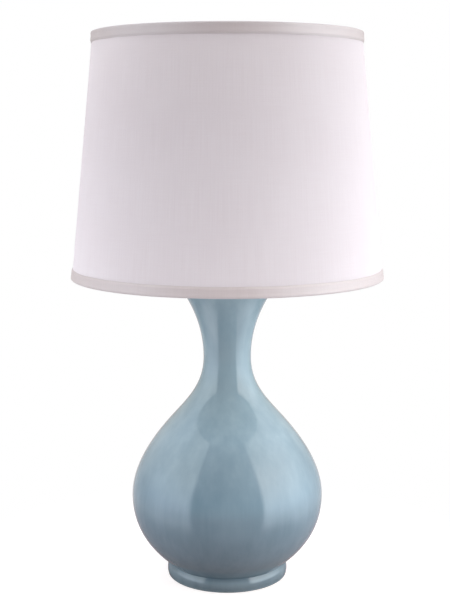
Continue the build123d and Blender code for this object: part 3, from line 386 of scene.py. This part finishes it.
def felt():
    """Dark green baize, matted from fine fibres."""
    f = Finish("felt")
    place = f.place()
    fibre = f.noise(f.stretched(place, (900.0, 900.0, 900.0)), 1.0, 6.0, 0.75, 1.5)
    cloud = f.noise(place, 60.0, 3.0)
    colour = f.mix(f.sum(fibre, 0.7, cloud, 0.3), (0.02, 0.035, 0.03), (0.07, 0.10, 0.085))
    f.set(f.surface, Base_Color=colour, Roughness=1.0, Normal=f.bump(fibre, 0.5 * MM), Sheen_Weight=0.4)
    return f.material


def metal(name, colour, dark, rough, stretch=(300.0, 300.0, 300.0), depth=0.01):
    """Plated or drawn metal: fine marks, and a faint tarnish in clouds."""
    f = Finish(name)
    place = f.place()
    marks = f.noise(f.stretched(place, stretch), 1.0, 4.0, 0.65)
    cloud = f.noise(place, 45.0, 3.0, 0.6)
    f.set(f.surface, Base_Color=f.mix(f.between(cloud, 0.35, 0.75), colour, dark), Metallic=1.0,
          Roughness=f.between(marks, 0.25, 0.75, rough * 0.75, rough * 1.3),
          Normal=f.bump(marks, depth * MM))
    return f.material


def plastic(name, colour, shade, rough, depth=0.01):
    """Moulded plastic, rubber or enamel: slight colour drift and a fine skin."""
    f = Finish(name)
    place = f.place()
    skin = f.noise(place, 700.0, 3.0, 0.6)
    cloud = f.noise(place, 35.0, 3.0, 0.5)
    f.set(f.surface, Base_Color=f.mix(f.between(cloud, 0.3, 0.7), colour, shade),
          Roughness=f.between(skin, 0.3, 0.7, rough * 0.85, rough * 1.15), Normal=f.bump(skin, depth * MM))
    return f.material


def fibre_paper():
    """The brown insulating paper inside the socket."""
    f = Finish("fish_paper")
    place = f.place()
    fibres = f.noise(f.stretched(place, (240.0, 240.0, 900.0)), 1.0, 5.0, 0.7)
    f.set(f.surface, Base_Color=f.mix(fibres, (0.33, 0.22, 0.13), (0.50, 0.38, 0.25)), Roughness=0.75,
          Normal=f.bump(fibres, 0.05 * MM))
    return f.material


def opal():
    """The bulb's diffuser: milky, satin, and lit through by what is behind it."""
    f = Finish("diffuser")
    cloud = f.noise(f.place(), 60.0, 2.0)
    colour = f.mix(cloud, (0.86, 0.86, 0.84), (0.90, 0.90, 0.88))
    skin = f.bump(f.noise(f.place(), 1500.0, 2.0), 0.01 * MM)
    f.set(f.surface, Base_Color=colour, Roughness=0.32, Normal=skin)
    f.let_through(colour, skin, 0.3)
    return f.material


GLAZE = glaze()
BISQUE = bisque()
CLOTH = woven("shade_cloth", CLOTH_WHITE, CLOTH_SHADE, pitch=0.42 * MM, slub=0.75, depth=0.10 * MM,
              through=0.48, sheen=0.0, rough=0.85)
TAPE = woven("trim_tape", TAPE_WHITE_PAINTED_SHADE, TAPE_DARK_PAINTED_SHADE, pitch=0.5 * MM, slub=0.5, depth=0.14 * MM,
             through=0.15, sheen=0.4, rough=0.45)
STYRENE = styrene()
GLUE_SIDE = glue_side()
FELT = felt()
# The finishes of the CAD pieces that stay, by their material slot.
FINISHES = {
    "rubber": plastic("rubber", (0.018, 0.018, 0.019), (0.035, 0.035, 0.036), 0.55, 0.03),
    "zinc_steel": metal("zinc_steel", (0.62, 0.62, 0.60), (0.42, 0.42, 0.40), 0.38),
    "nickel": metal("nickel", (0.66, 0.62, 0.56), (0.52, 0.48, 0.43), 0.26, (220.0, 220.0, 1600.0),
                    0.006),
    "fish_paper": fibre_paper(),
    "phenolic": plastic("phenolic", (0.012, 0.012, 0.012), (0.028, 0.026, 0.025), 0.28),
    "brass": metal("brass", (0.78, 0.58, 0.27), (0.60, 0.42, 0.18), 0.24),
    "thin_aluminium": metal("thin_aluminium", (0.80, 0.80, 0.79), (0.66, 0.66, 0.65), 0.3,
                            (200.0, 200.0, 1800.0), 0.006),
    "diffuser": opal(),
    "white_plastic": plastic("white_plastic", (0.80, 0.80, 0.78), (0.74, 0.74, 0.72), 0.45),
    "board": plastic("board", (0.78, 0.80, 0.78), (0.70, 0.72, 0.70), 0.4),
    "phosphor": plastic("phosphor", (0.82, 0.60, 0.10), (0.76, 0.52, 0.08), 0.35),
    "white_enamel": plastic("white_enamel", (0.78, 0.78, 0.77), (0.70, 0.70, 0.69), 0.35, 0.02),
}


# ---- glazed body --------------------------------------------------------------------------
# Stations of the body's side: radius, height above the foot's bottom, and lean from vertical in degrees.
CREASE = (67.9 * MM, FOOT_HEIGHT, 45.0)
BELLY = (111.4 * MM, 96.1 * MM, 0.0)
SHOULDER = (62.0 * MM, 191.6 * MM, -42.0)
NECK = (27.5 * MM, 260.0 * MM, 0.0)
MOUTH = (53.5 * MM, 339.6 * MM, 34.7)
# How far the curve holds its lean at each end of a stretch, as a share of the stretch's rise.
FULLNESS = [(0.18, 0.595), (0.395, 0.31), (0.385, 0.455), (0.33, 0.40)]
STRETCH_STEPS = 44
WALL = 6.0 * MM
FOOT_RADIUS = 70.4 * MM
FOOT_ROUND = 1.0 * MM
FOOT_BULGE = 0.6 * MM
FOOT_RING = 11.5 * MM
REBATE_RADIUS = 65.95 * MM           # for the felt
REBATE_DEPTH = 0.8 * MM
RECESS_DEPTH = 12.6 * MM
FLOOR_THICKNESS = 7.0 * MM
LIP_ROUND = 2.2 * MM
PIPE_HOLE = 5.4 * MM
INLET_HOLE = 4.05 * MM               # for the cord's grommet, at the back of the foot ring
INLET_HEIGHT = 7.4 * MM
INLET_TURNS = 40
CORNER = 2 * MM                      # between a corner and the first ring of the flat beside it
ROUND_STEPS = 10
FOOT_STEPS = 18
FLAT_STEPS = 8
BODY_TURNS = 288
BODY_SHARP = 38                      # degrees, from which an edge isn't shaded smooth
UNEVENNESS = 0.12 * MM
UNEVEN_FROM = 20 * MM                # the body has all of it from this height up


def flank(inset, bottom):
    """Points up the body's side, moved into the wall by inset."""
    placed = []
    for radius, height, lean in (CREASE, BELLY, SHOULDER, NECK, MOUTH):
        along = Vector((math.sin(math.radians(lean)), math.cos(math.radians(lean))))
        placed.append((Vector((radius, bottom + height)) + inset * Vector((-along.y, along.x)), along))
    points = []
    for (low, way), (high, end_way), (a, b) in zip(placed, placed[1:], FULLNESS):
        rise = high.y - low.y
        points += bezier(low, low + way * rise * a, high - end_way * rise * b, high, STRETCH_STEPS)
    return points + [tuple(placed[-1][0])]


def rounded(points, radius, steps):
    """A polyline's middle points rounded by arcs of one radius."""
    result = [points[0]]
    for before, corner, after in zip(points, points[1:], points[2:]):
        into = (Vector(before) - Vector(corner)).normalized()
        out = (Vector(after) - Vector(corner)).normalized()
        half = into.angle(out) / 2
        reach = radius / math.tan(half)
        centre = Vector(corner) + (into + out).normalized() * (radius / math.sin(half))
        start = Vector(corner) + into * reach - centre
        turn = start.angle_signed(Vector(corner) + out * reach - centre)
        for k in range(steps + 1):
            angle = -turn * k / steps
            result.append((centre.x + start.x * math.cos(angle) - start.y * math.sin(angle),
                           centre.y + start.x * math.sin(angle) + start.y * math.cos(angle)))
    return result + [points[-1]]


def ceramic_outline():
    """The body's closed outline, and how many of its points from the start are glazed."""
    bottom, top = body_span()
    side = FOOT_RADIUS - FOOT_BULGE
    outer = arc((side - FOOT_ROUND, bottom + FOOT_ROUND), FOOT_ROUND, -90, 0, ROUND_STEPS)[:-1]
    low = Vector((side, bottom + FOOT_ROUND))
    crease = Vector((CREASE[0], bottom + CREASE[1]))
    fullest = Vector((FOOT_RADIUS, (low.y + crease.y) / 2)) * 2 - (low + crease) / 2
    outer += bezier(low, low + (fullest - low) * 2 / 3, crease + (fullest - crease) * 2 / 3, crease,
                    FOOT_STEPS)
    ceiling = bottom + RECESS_DEPTH
    floor = ceiling + FLOOR_THICKNESS
    lip_start = top - 3 * LIP_ROUND
    up = [point for point in flank(0.0, bottom) if point[1] < lip_start]
    inner = [point for point in flank(WALL, bottom) if floor < point[1] < lip_start]
    inner_edge = MOUTH[0] - WALL / math.cos(math.radians(MOUTH[2]))
    lip = rounded([up[-1], (MOUTH[0], top), (inner_edge, top), inner[-1]], LIP_ROUND, ROUND_STEPS)
    glazed = outer + up + lip[1:-1]
    recess = FOOT_RADIUS - FOOT_RING
    rebate = bottom + REBATE_DEPTH
    bare = list(reversed(inner)) + [(inner[0][0] - CORNER, floor)]
    bare += line((inner[0][0] - 2 * CORNER, floor), (PIPE_HOLE, floor), FLAT_STEPS)
    bare += [(PIPE_HOLE, floor), (PIPE_HOLE, ceiling)]
    bare += line((PIPE_HOLE + CORNER, ceiling), (recess, ceiling), FLAT_STEPS)
    bare += [(recess, ceiling), (recess, rebate), (REBATE_RADIUS, rebate), (REBATE_RADIUS, bottom)]
    return glazed + bare, len(glazed)


def hand_thrown(radius, height, angle):
    """Barely uneven, as a slip-cast and sponged body is."""
    place = Vector((math.cos(angle), math.sin(angle), height * 9.0)) * 1.3
    fade = smooth_step(0.0, UNEVEN_FROM, height)
    return radius + fade * UNEVENNESS * noise.noise(place), height


def ceramic_body():
    """The body, glazed outside and bare inside and under the foot, with its cord inlet."""
    outline, glazed = ceramic_outline()
    body = lathe("glazed_body", outline, even(BODY_TURNS), BODY_SHARP, hand_thrown)
    count = len(outline)
    for face in body.data.polygons:
        k = face.index % count
        face.material_index = 0 if k < glazed - 1 else 1
    bore_inlet(body)
    return body


def bore_inlet(body):
    """Cuts the cord's hole through the back of the foot ring."""
    height = body_span()[0] + INLET_HEIGHT
    start, end = FOOT_RADIUS - 2 * FOOT_RING, FOOT_RADIUS + FOOT_RING
    shape = bmesh.new()
    rings = [[shape.verts.new((INLET_HOLE * math.cos(angle), y, height + INLET_HOLE * math.sin(angle)))
              for angle in even(INLET_TURNS)] for y in (start, end)]
    for k in range(INLET_TURNS):
        n = (k + 1) % INLET_TURNS
        shape.faces.new((rings[0][k], rings[0][n], rings[1][n], rings[1][k]))
    shape.faces.new(rings[0])
    shape.faces.new(rings[1])
    bmesh.ops.recalc_face_normals(shape, faces=shape.faces)
    mesh = bpy.data.meshes.new("inlet_cut")
    shape.to_mesh(mesh)
    shape.free()
    cutter = bpy.data.objects.new("inlet_cut", mesh)
    bpy.context.scene.collection.objects.link(cutter)
    cut = body.modifiers.new("inlet", "BOOLEAN")
    cut.object = cutter
    cut.solver = "EXACT"
    bpy.context.view_layer.update()
    made = bpy.data.meshes.new_from_object(body.evaluated_get(bpy.context.evaluated_depsgraph_get()))
    body.modifiers.clear()
    old = body.data
    body.data = made
    made.name = body.name
    bpy.data.meshes.remove(old)
    bpy.data.objects.remove(cutter)
    sharpen(made, BODY_SHARP)


dress(ceramic_body(), "base", "glaze", CERAMIC, GLAZE, BISQUE)


# ---- shade --------------------------------------------------------------------------------
SEAM_ANGLE = math.radians(90)        # at the back
SEAM_WIDTH = 9 * MM
SEAM_STEP = 0.05 * MM                # how abruptly the lap rises
CLOTH_LIFT = 0.30 * MM               # over the lap, outward
LINER_LIFT = -0.25 * MM              # and inward
SHEET_WAVE = 0.10 * MM
SHEET_ROWS = 60
SHEET_TURNS = 360
SHEET_SHARP = 60

TAPE_THICK = 1.3 * MM
TAPE_GLUE = 0.05 * MM
TAPE_CORNER = 2.0 * MM               # radius where the band turns over the shade's edge
TAPE_FLAT = 4.6 * MM                 # the band lies flat from this far off the edge
TAPE_SWELL = 0.3 * MM                # of the band, over the ring
TAPE_AHEAD = 0.8 * MM                # how far ahead of the edge the swell comes
TAPE_PRESSED = 0.85 * MM             # how much thinner the glued-down selvedge is
TAPE_SELVEDGE = 2.6 * MM
TAPE_WAVE = 0.12 * MM
TAPE_EDGE_WAVE = 0.35 * MM
TAPE_LOOSE = 5 * MM                  # how far in from the selvedge its line wanders
TAPE_TAIL = 0.8 * MM                 # of the fold that shows against the liner
TAPE_LAP = 4 * MM                    # half the width of the lap where the tape's ends meet
TAPE_LAP_LIFT = 0.35 * MM
TAPE_LAP_ANGLE = 0.06                # radians from the shade's seam to it
TAPE_STEPS = 26
CORNER_STEPS = 12
ROLL_STEPS = 20
TAPE_TURNS = 480
TAPE_SHARP = 50


def wall_radius(node):
    """The radius of a conical node as a function of height, from its mesh."""
    points = [v.co for v in NODES[node].data.vertices]
    low, high = span(node)[:2]
    near = 0.5 * MM
    at_low = [math.hypot(p.x, p.y) for p in points if p.z < low + near]
    at_high = [math.hypot(p.x, p.y) for p in points if p.z > high - near]

    def radius(z, inner=False):
        pick = min if inner else max
        a, b = pick(at_low), pick(at_high)
        return a + (b - a) * (z - low) / (high - low)
    return radius


def shade_angles(reach):
    """Even angles, with close pairs at each edge of the seam."""
    angles = even(SHEET_TURNS)
    for edge in (SEAM_ANGLE - SEAM_WIDTH / 2 / reach, SEAM_ANGLE + SEAM_WIDTH / 2 / reach):
        angles += [edge - SEAM_STEP / reach, edge + SEAM_STEP / reach]
    return sorted(angles)


def shade_sheet(name, node, lift):
    """A conical sheet with a lapped seam at the back and the slight waves of a rolled sheet, and the
    outline of its outer face."""
    low, high, reach = span(node)
    radius = wall_radius(node)
    heights = [low + (high - low) * k / SHEET_ROWS for k in range(SHEET_ROWS + 1)]
    outer = [(radius(z), z) for z in heights]
    outline = outer + [(radius(z, True), z) for z in reversed(heights)]

    def shape(r, z, angle):
        wave = SHEET_WAVE * noise.noise(Vector((3 * math.cos(angle), 3 * math.sin(angle), 6 * z)))
        lapped = abs(angle - SEAM_ANGLE) * r < SEAM_WIDTH / 2
        return r + wave + (lift if lapped else 0.0), z
    piece = lathe(name, outline, shade_angles(reach), SHEET_SHARP, shape)
    count = len(outline)
    for face in piece.data.polygons:
        inside = SHEET_ROWS < face.index % count < count - 1
        face.material_index = 1 if inside else 0
    return piece, outer


def cone_flat(outer):
    """The width, height and area of the flat cut that rolls up into a cone."""
    (r1, z1), (r2, z2) = outer[0], outer[-1]
    slant = math.hypot(r1 - r2, z2 - z1)
    turn = 2 * math.pi * (r1 - r2) / slant
    far = r1 * slant / (r1 - r2)
    width = 2 * far * math.sin(turn / 2)
    return width, far - (far - slant) * math.cos(turn / 2), math.pi * (r1 + r2) * slant


def trim(name, node, ring_node, way):
    """Fold-over tape on the top edge, or on the bottom one where way is -1: a flat band outside,
    swollen where it goes over the ring, and round the ring back to the liner."""
    low, high = span(node)[:2]
    ring_low, ring_high, ring_reach = span(ring_node)
    wire = (ring_high - ring_low) / 2
    ring = (ring_reach - wire, (ring_low + ring_high) / 2)
    wall = wall_radius("shade_fabric")
    lining = wall_radius("shade_liner")
    edge, band_end = (high, low) if way > 0 else (low, high)

    band = []
    for k in range(TAPE_STEPS + 1):
        z = band_end + (edge - way * TAPE_CORNER - band_end) * k / TAPE_STEPS
        from_edge = abs(edge - z)
        rise = smooth_step(0.0, TAPE_FLAT, TAPE_FLAT - from_edge + TAPE_AHEAD)
        swollen = TAPE_SWELL * math.sin(math.pi * rise * 0.55) if from_edge < TAPE_FLAT else 0.0
        thinned = TAPE_PRESSED * smooth_step(TAPE_SELVEDGE, 0.0, abs(z - band_end))
        band.append((wall(z) + TAPE_GLUE + TAPE_THICK - thinned + swollen, z))
    turn = arc((band[-1][0] - TAPE_CORNER, band[-1][1]), TAPE_CORNER, 0, 90, CORNER_STEPS, way)[1:]
    roll = abs(edge - ring[1])
    over = arc(ring, roll, 90, 240, ROLL_STEPS, way)
    tail = (lining(ring[1], True) - 0.1 * MM, over[-1][1] - way * TAPE_TAIL)
    under = arc(ring, roll - TAPE_THICK, 240, 90, ROLL_STEPS, way)
    back = [(wall(edge - way * TAPE_THICK), edge - way * TAPE_THICK)]
    inside = [(wall(z) + TAPE_GLUE, z) for r, z in reversed(band) if abs(edge - z) > 1.5 * TAPE_THICK]
    outline = (band + turn + over + [tail] + under + back + inside)[::way]

    def shape(r, z, angle):
        place = Vector((9 * math.cos(angle), 9 * math.sin(angle), 30 * z))
        near_end = smooth_step(TAPE_LOOSE, 0.0, abs(z - band_end))
        lapped = abs(angle - SEAM_ANGLE - TAPE_LAP_ANGLE) * r < TAPE_LAP and r > ring[0] + wire
        r += TAPE_WAVE * noise.noise(place) + (TAPE_LAP_LIFT if lapped else 0.0)
        lift = TAPE_EDGE_WAVE * noise.noise(place * 0.7 + Vector((5.0, 0, 0)))
        return r, z + way * near_end * lift
    return lathe(name, outline, even(TAPE_TURNS), TAPE_SHARP, shape)


cloth, cloth_outer = shade_sheet("shade_cloth", "shade_fabric", CLOTH_LIFT)
dress(cloth, "shade", "shade_cloth", ["shade_fabric"], CLOTH, GLUE_SIDE)
liner = shade_sheet("shade_backing", "shade_liner", LINER_LIFT)[0]
dress(liner, "shade", "styrene", ["shade_liner"], GLUE_SIDE, STYRENE)
trim_top = trim("trim_upper", "trim_top", "top_ring", 1)
dress(trim_top, "shade", "trim_tape", ["trim_top"], TAPE)
trim_bottom = trim("trim_lower", "trim_bottom", "bottom_ring", -1)
dress(trim_bottom, "shade", "trim_tape", ["trim_bottom"], TAPE)
width, length, area = cone_flat(cloth_outer)


# ---- felt ---------------------------------------------------------------------------------
FELT_ROUND = 0.25 * MM               # of the disc's edge
FELT_PINHOLE = 0.2 * MM              # where the disc's middle closes
FELT_WAVE = 0.3 * MM                 # of the cut edge
FELT_INNER = 4 * MM                  # radius of the first ring
FELT_RINGS = 12
FELT_TURNS = 180
FELT_SHARP = 50


def felt_disc():
    """The felt under the foot, with a slightly uneven cut edge."""
    low, high, reach = span("felt_pad")
    edge = reach - FELT_ROUND
    outline = [(FELT_PINHOLE, low)] + line((FELT_INNER, low), (edge, low), FELT_RINGS)
    outline += [(edge, low), (reach, low + FELT_ROUND), (reach, high - FELT_ROUND), (edge, high)]
    outline += line((reach - 2 * FELT_ROUND, high), (FELT_INNER, high), FELT_RINGS)
    outline += [(FELT_PINHOLE, high)]

    def shape(r, z, angle):
        if r > reach - 1 * MM:
            r += FELT_WAVE * noise.noise(Vector((4 * math.cos(angle), 4 * math.sin(angle), 0)))
        return r, z
    return lathe("felt_disc", outline, even(FELT_TURNS), FELT_SHARP, shape)


pad = felt_disc()
dress(pad, "base", "felt", ["felt_pad"], FELT)


# ---- finishes on the CAD pieces that stay ---------------------------------------------------
for part in frame["record"]["subparts"]:
    node = NODES[part["node"]]
    if part["material_slot"] in FINISHES and not node.hide_render:
        node.data.materials.clear()
        node.data.materials.append(FINISHES[part["material_slot"]])


# ---- studio -------------------------------------------------------------------------------
# The room's light as four panels round the lamp, each from floor to ceiling: the colour and
# strength at each height, in degrees above the horizon. They began as a least-squares fit of patches
# of light to the photograph, and were then scaled and partly set one by one.
HEIGHTS = (-35, -17, -2, 12, 30, 50, 75)
PANELS = {
    "right": ((1.75, 1.62, 1.72), (2.66, 2.87, 3.07), (4.11, 4.67, 5.11), (4.60, 4.92, 5.10),
              (4.25, 4.08, 3.95), (2.35, 2.25, 2.15), (1.14, 1.42, 1.51)),
    "left": ((2.00, 1.98, 2.08), (1.76, 1.85, 2.04), (2.54, 2.78, 3.18), (2.76, 3.06, 3.30),
             (2.54, 2.65, 2.61), (1.98, 2.00, 1.96), (2.46, 2.36, 2.41)),
    "front": ((0.15, 0.09, 0.09), (0.37, 0.21, 0.19), (0.48, 0.59, 0.61), (0.23, 0.26, 0.28),
              (0.26, 0.17, 0.15), (0.38, 0.21, 0.17), (0.27, 0.17, 0.15)),
    "back": ((0.09, 0.08, 0.08), (0.72, 0.68, 0.67), (0.55, 0.47, 0.40), (0.84, 0.72, 0.59),
             (1.13, 1.03, 0.97), (0.73, 0.85, 1.32), (1.51, 1.94, 2.22)),
}
BRIGHTEST = 8.0                      # the ramps hold colours as a share of this
# Where the panels start and end, in degrees round from the front, to the right of the picture.
RIGHT_END = (88.0, 136.0)            # the right one fades out
LEFT_END = (-124.0, -84.0)           # the left one does
# And to either side.
NEAR_EDGE = (40.0, 48.0)             # both side panels fade in
SIDE_FALL = (62.0, 94.0)             # and go down to SIDE_LAST
SIDE_LAST = 0.78
ENDS_MEET = 75.0                     # the front one changes for the back one

FLOOR_RADIUS = 0.36
FLOOR_SOLID = 0.5 * FLOOR_RADIUS     # it fades out from here on
FLOOR_COLOUR = (0.46, 0.40, 0.39, 1.0)
FLOOR_GLOW = 0.75                    # keeps the floor near white in the picture, under the shadow

CAMERA_PLACE = (0.0, -1.3331, 0.5243)
CAMERA_AIM = -0.0026                 # x of the point it looks at, just beside the lamp's axis
CAMERA_TILT = math.radians(8.46)
CAMERA_LENS = 70.2


class Room(Finish):
    """The world's light: dim in front, a large soft panel on each side, and a pale ceiling behind.
    The camera sees plain white."""

    def __init__(self):
        world = bpy.data.worlds.new("studio")
        world.use_nodes = True
        self.tree = world.node_tree
        self.output = self.tree.nodes["World Output"]
        bpy.context.scene.world = world

    def panel(self, height, colours):
        """A colour that runs from stop to stop with height, in degrees."""
        stops = [((at + 90) / 180, colour) for at, colour in zip(HEIGHTS, colours)]
        return self.ramp(self.math("DIVIDE", self.math("ADD", height, 90.0), 180.0), stops, BRIGHTEST)

    def build(self):
        ray = self.add("TexCoord").outputs["Generated"]
        ways = self.add("SeparateXYZ", Vector=ray)
        right = ways.outputs["X"]
        front = self.math("MULTIPLY", ways.outputs["Y"], -1.0)
        turn = self.math("MULTIPLY", self.math("ARCTAN2", right, front), 180 / math.pi)
        height = self.math("MULTIPLY", self.math("ARCSINE", ways.outputs["Z"]), 180 / math.pi)
        off = self.math("ABSOLUTE", turn)
        panels = {name: self.panel(height, colours) for name, colours in PANELS.items()}
        sides = self.mix(self.math("GREATER_THAN", turn, 0.0), panels["left"], panels["right"])
        ends = self.mix(self.math("GREATER_THAN", off, ENDS_MEET), panels["front"], panels["back"])
        far_edge = self.math("MULTIPLY", self.between(turn, *RIGHT_END, 1.0, 0.0),
                             self.between(turn, *LEFT_END))
        share = self.math("MULTIPLY", self.math("MULTIPLY", self.between(off, *NEAR_EDGE), far_edge),
                          self.between(off, *SIDE_FALL, 1.0, SIDE_LAST))
        lit = self.add("Background", Color=self.mix(share, ends, sides), Strength=BRIGHTEST)
        seen = self.add("Background", Color=(1, 1, 1, 1), Strength=1.0)
        to_camera = self.add("LightPath").outputs["Is Camera Ray"]
        both = self.add("MixShader", i0=to_camera, i1=lit.outputs[0], i2=seen.outputs[0])
        self.put(self.output.inputs["Surface"], both.outputs[0])


def floor():
    """A plain pale floor, just large enough to carry the lamp's shadow, and open from below."""
    mesh = bpy.data.meshes.new("floor")
    shape = bmesh.new()
    bmesh.ops.create_circle(shape, cap_ends=True, radius=FLOOR_RADIUS, segments=96)
    for face in shape.faces:
        if face.normal.z < 0:
            face.normal_flip()
    shape.to_mesh(mesh)
    shape.free()
    f = Finish("floor")
    f.set(f.surface, Base_Color=FLOOR_COLOUR, Roughness=0.9, Specular_IOR_Level=0.1)
    to_camera = f.add("LightPath").outputs["Is Camera Ray"]
    glow = f.add("Emission", Color=(1, 1, 1, 1), Strength=f.math("MULTIPLY", to_camera, FLOOR_GLOW))
    both = f.add("AddShader", i0=f.surface.outputs[0], i1=glow.outputs[0])
    from_middle = f.add("VectorMath", {"operation": "LENGTH"}, i0=f.place()).outputs["Value"]
    clear = f.math("MAXIMUM", f.between(from_middle, FLOOR_SOLID, FLOOR_RADIUS),
                   f.add("NewGeometry").outputs["Backfacing"])
    faded = f.add("MixShader", i0=clear, i1=both.outputs[0], i2=f.add("BsdfTransparent").outputs[0])
    f.put(f.output.inputs["Surface"], faded.outputs[0])
    mesh.materials.append(f.material)
    piece = bpy.data.objects.new("floor", mesh)
    bpy.context.scene.collection.objects.link(piece)


def camera():
    """In front of the lamp, at the height of the shade, and tipped a little down."""
    data = bpy.data.cameras.new("camera")
    data.lens = CAMERA_LENS
    data.sensor_width = 36.0
    data.clip_start, data.clip_end = 0.05, 30.0
    place = Vector(CAMERA_PLACE)
    aim = Vector((CAMERA_AIM, 0.0, place.z + place.y * math.tan(CAMERA_TILT)))
    eye = bpy.data.objects.new("camera", data)
    eye.rotation_mode = "QUATERNION"
    eye.location = place
    eye.rotation_quaternion = (aim - place).to_track_quat("-Z", "Y")
    bpy.context.scene.collection.objects.link(eye)
    bpy.context.scene.camera = eye


floor()
Room().build()
camera()
bpy.context.scene.view_settings.view_transform = "Standard"
bpy.context.scene.view_settings.look = "None"
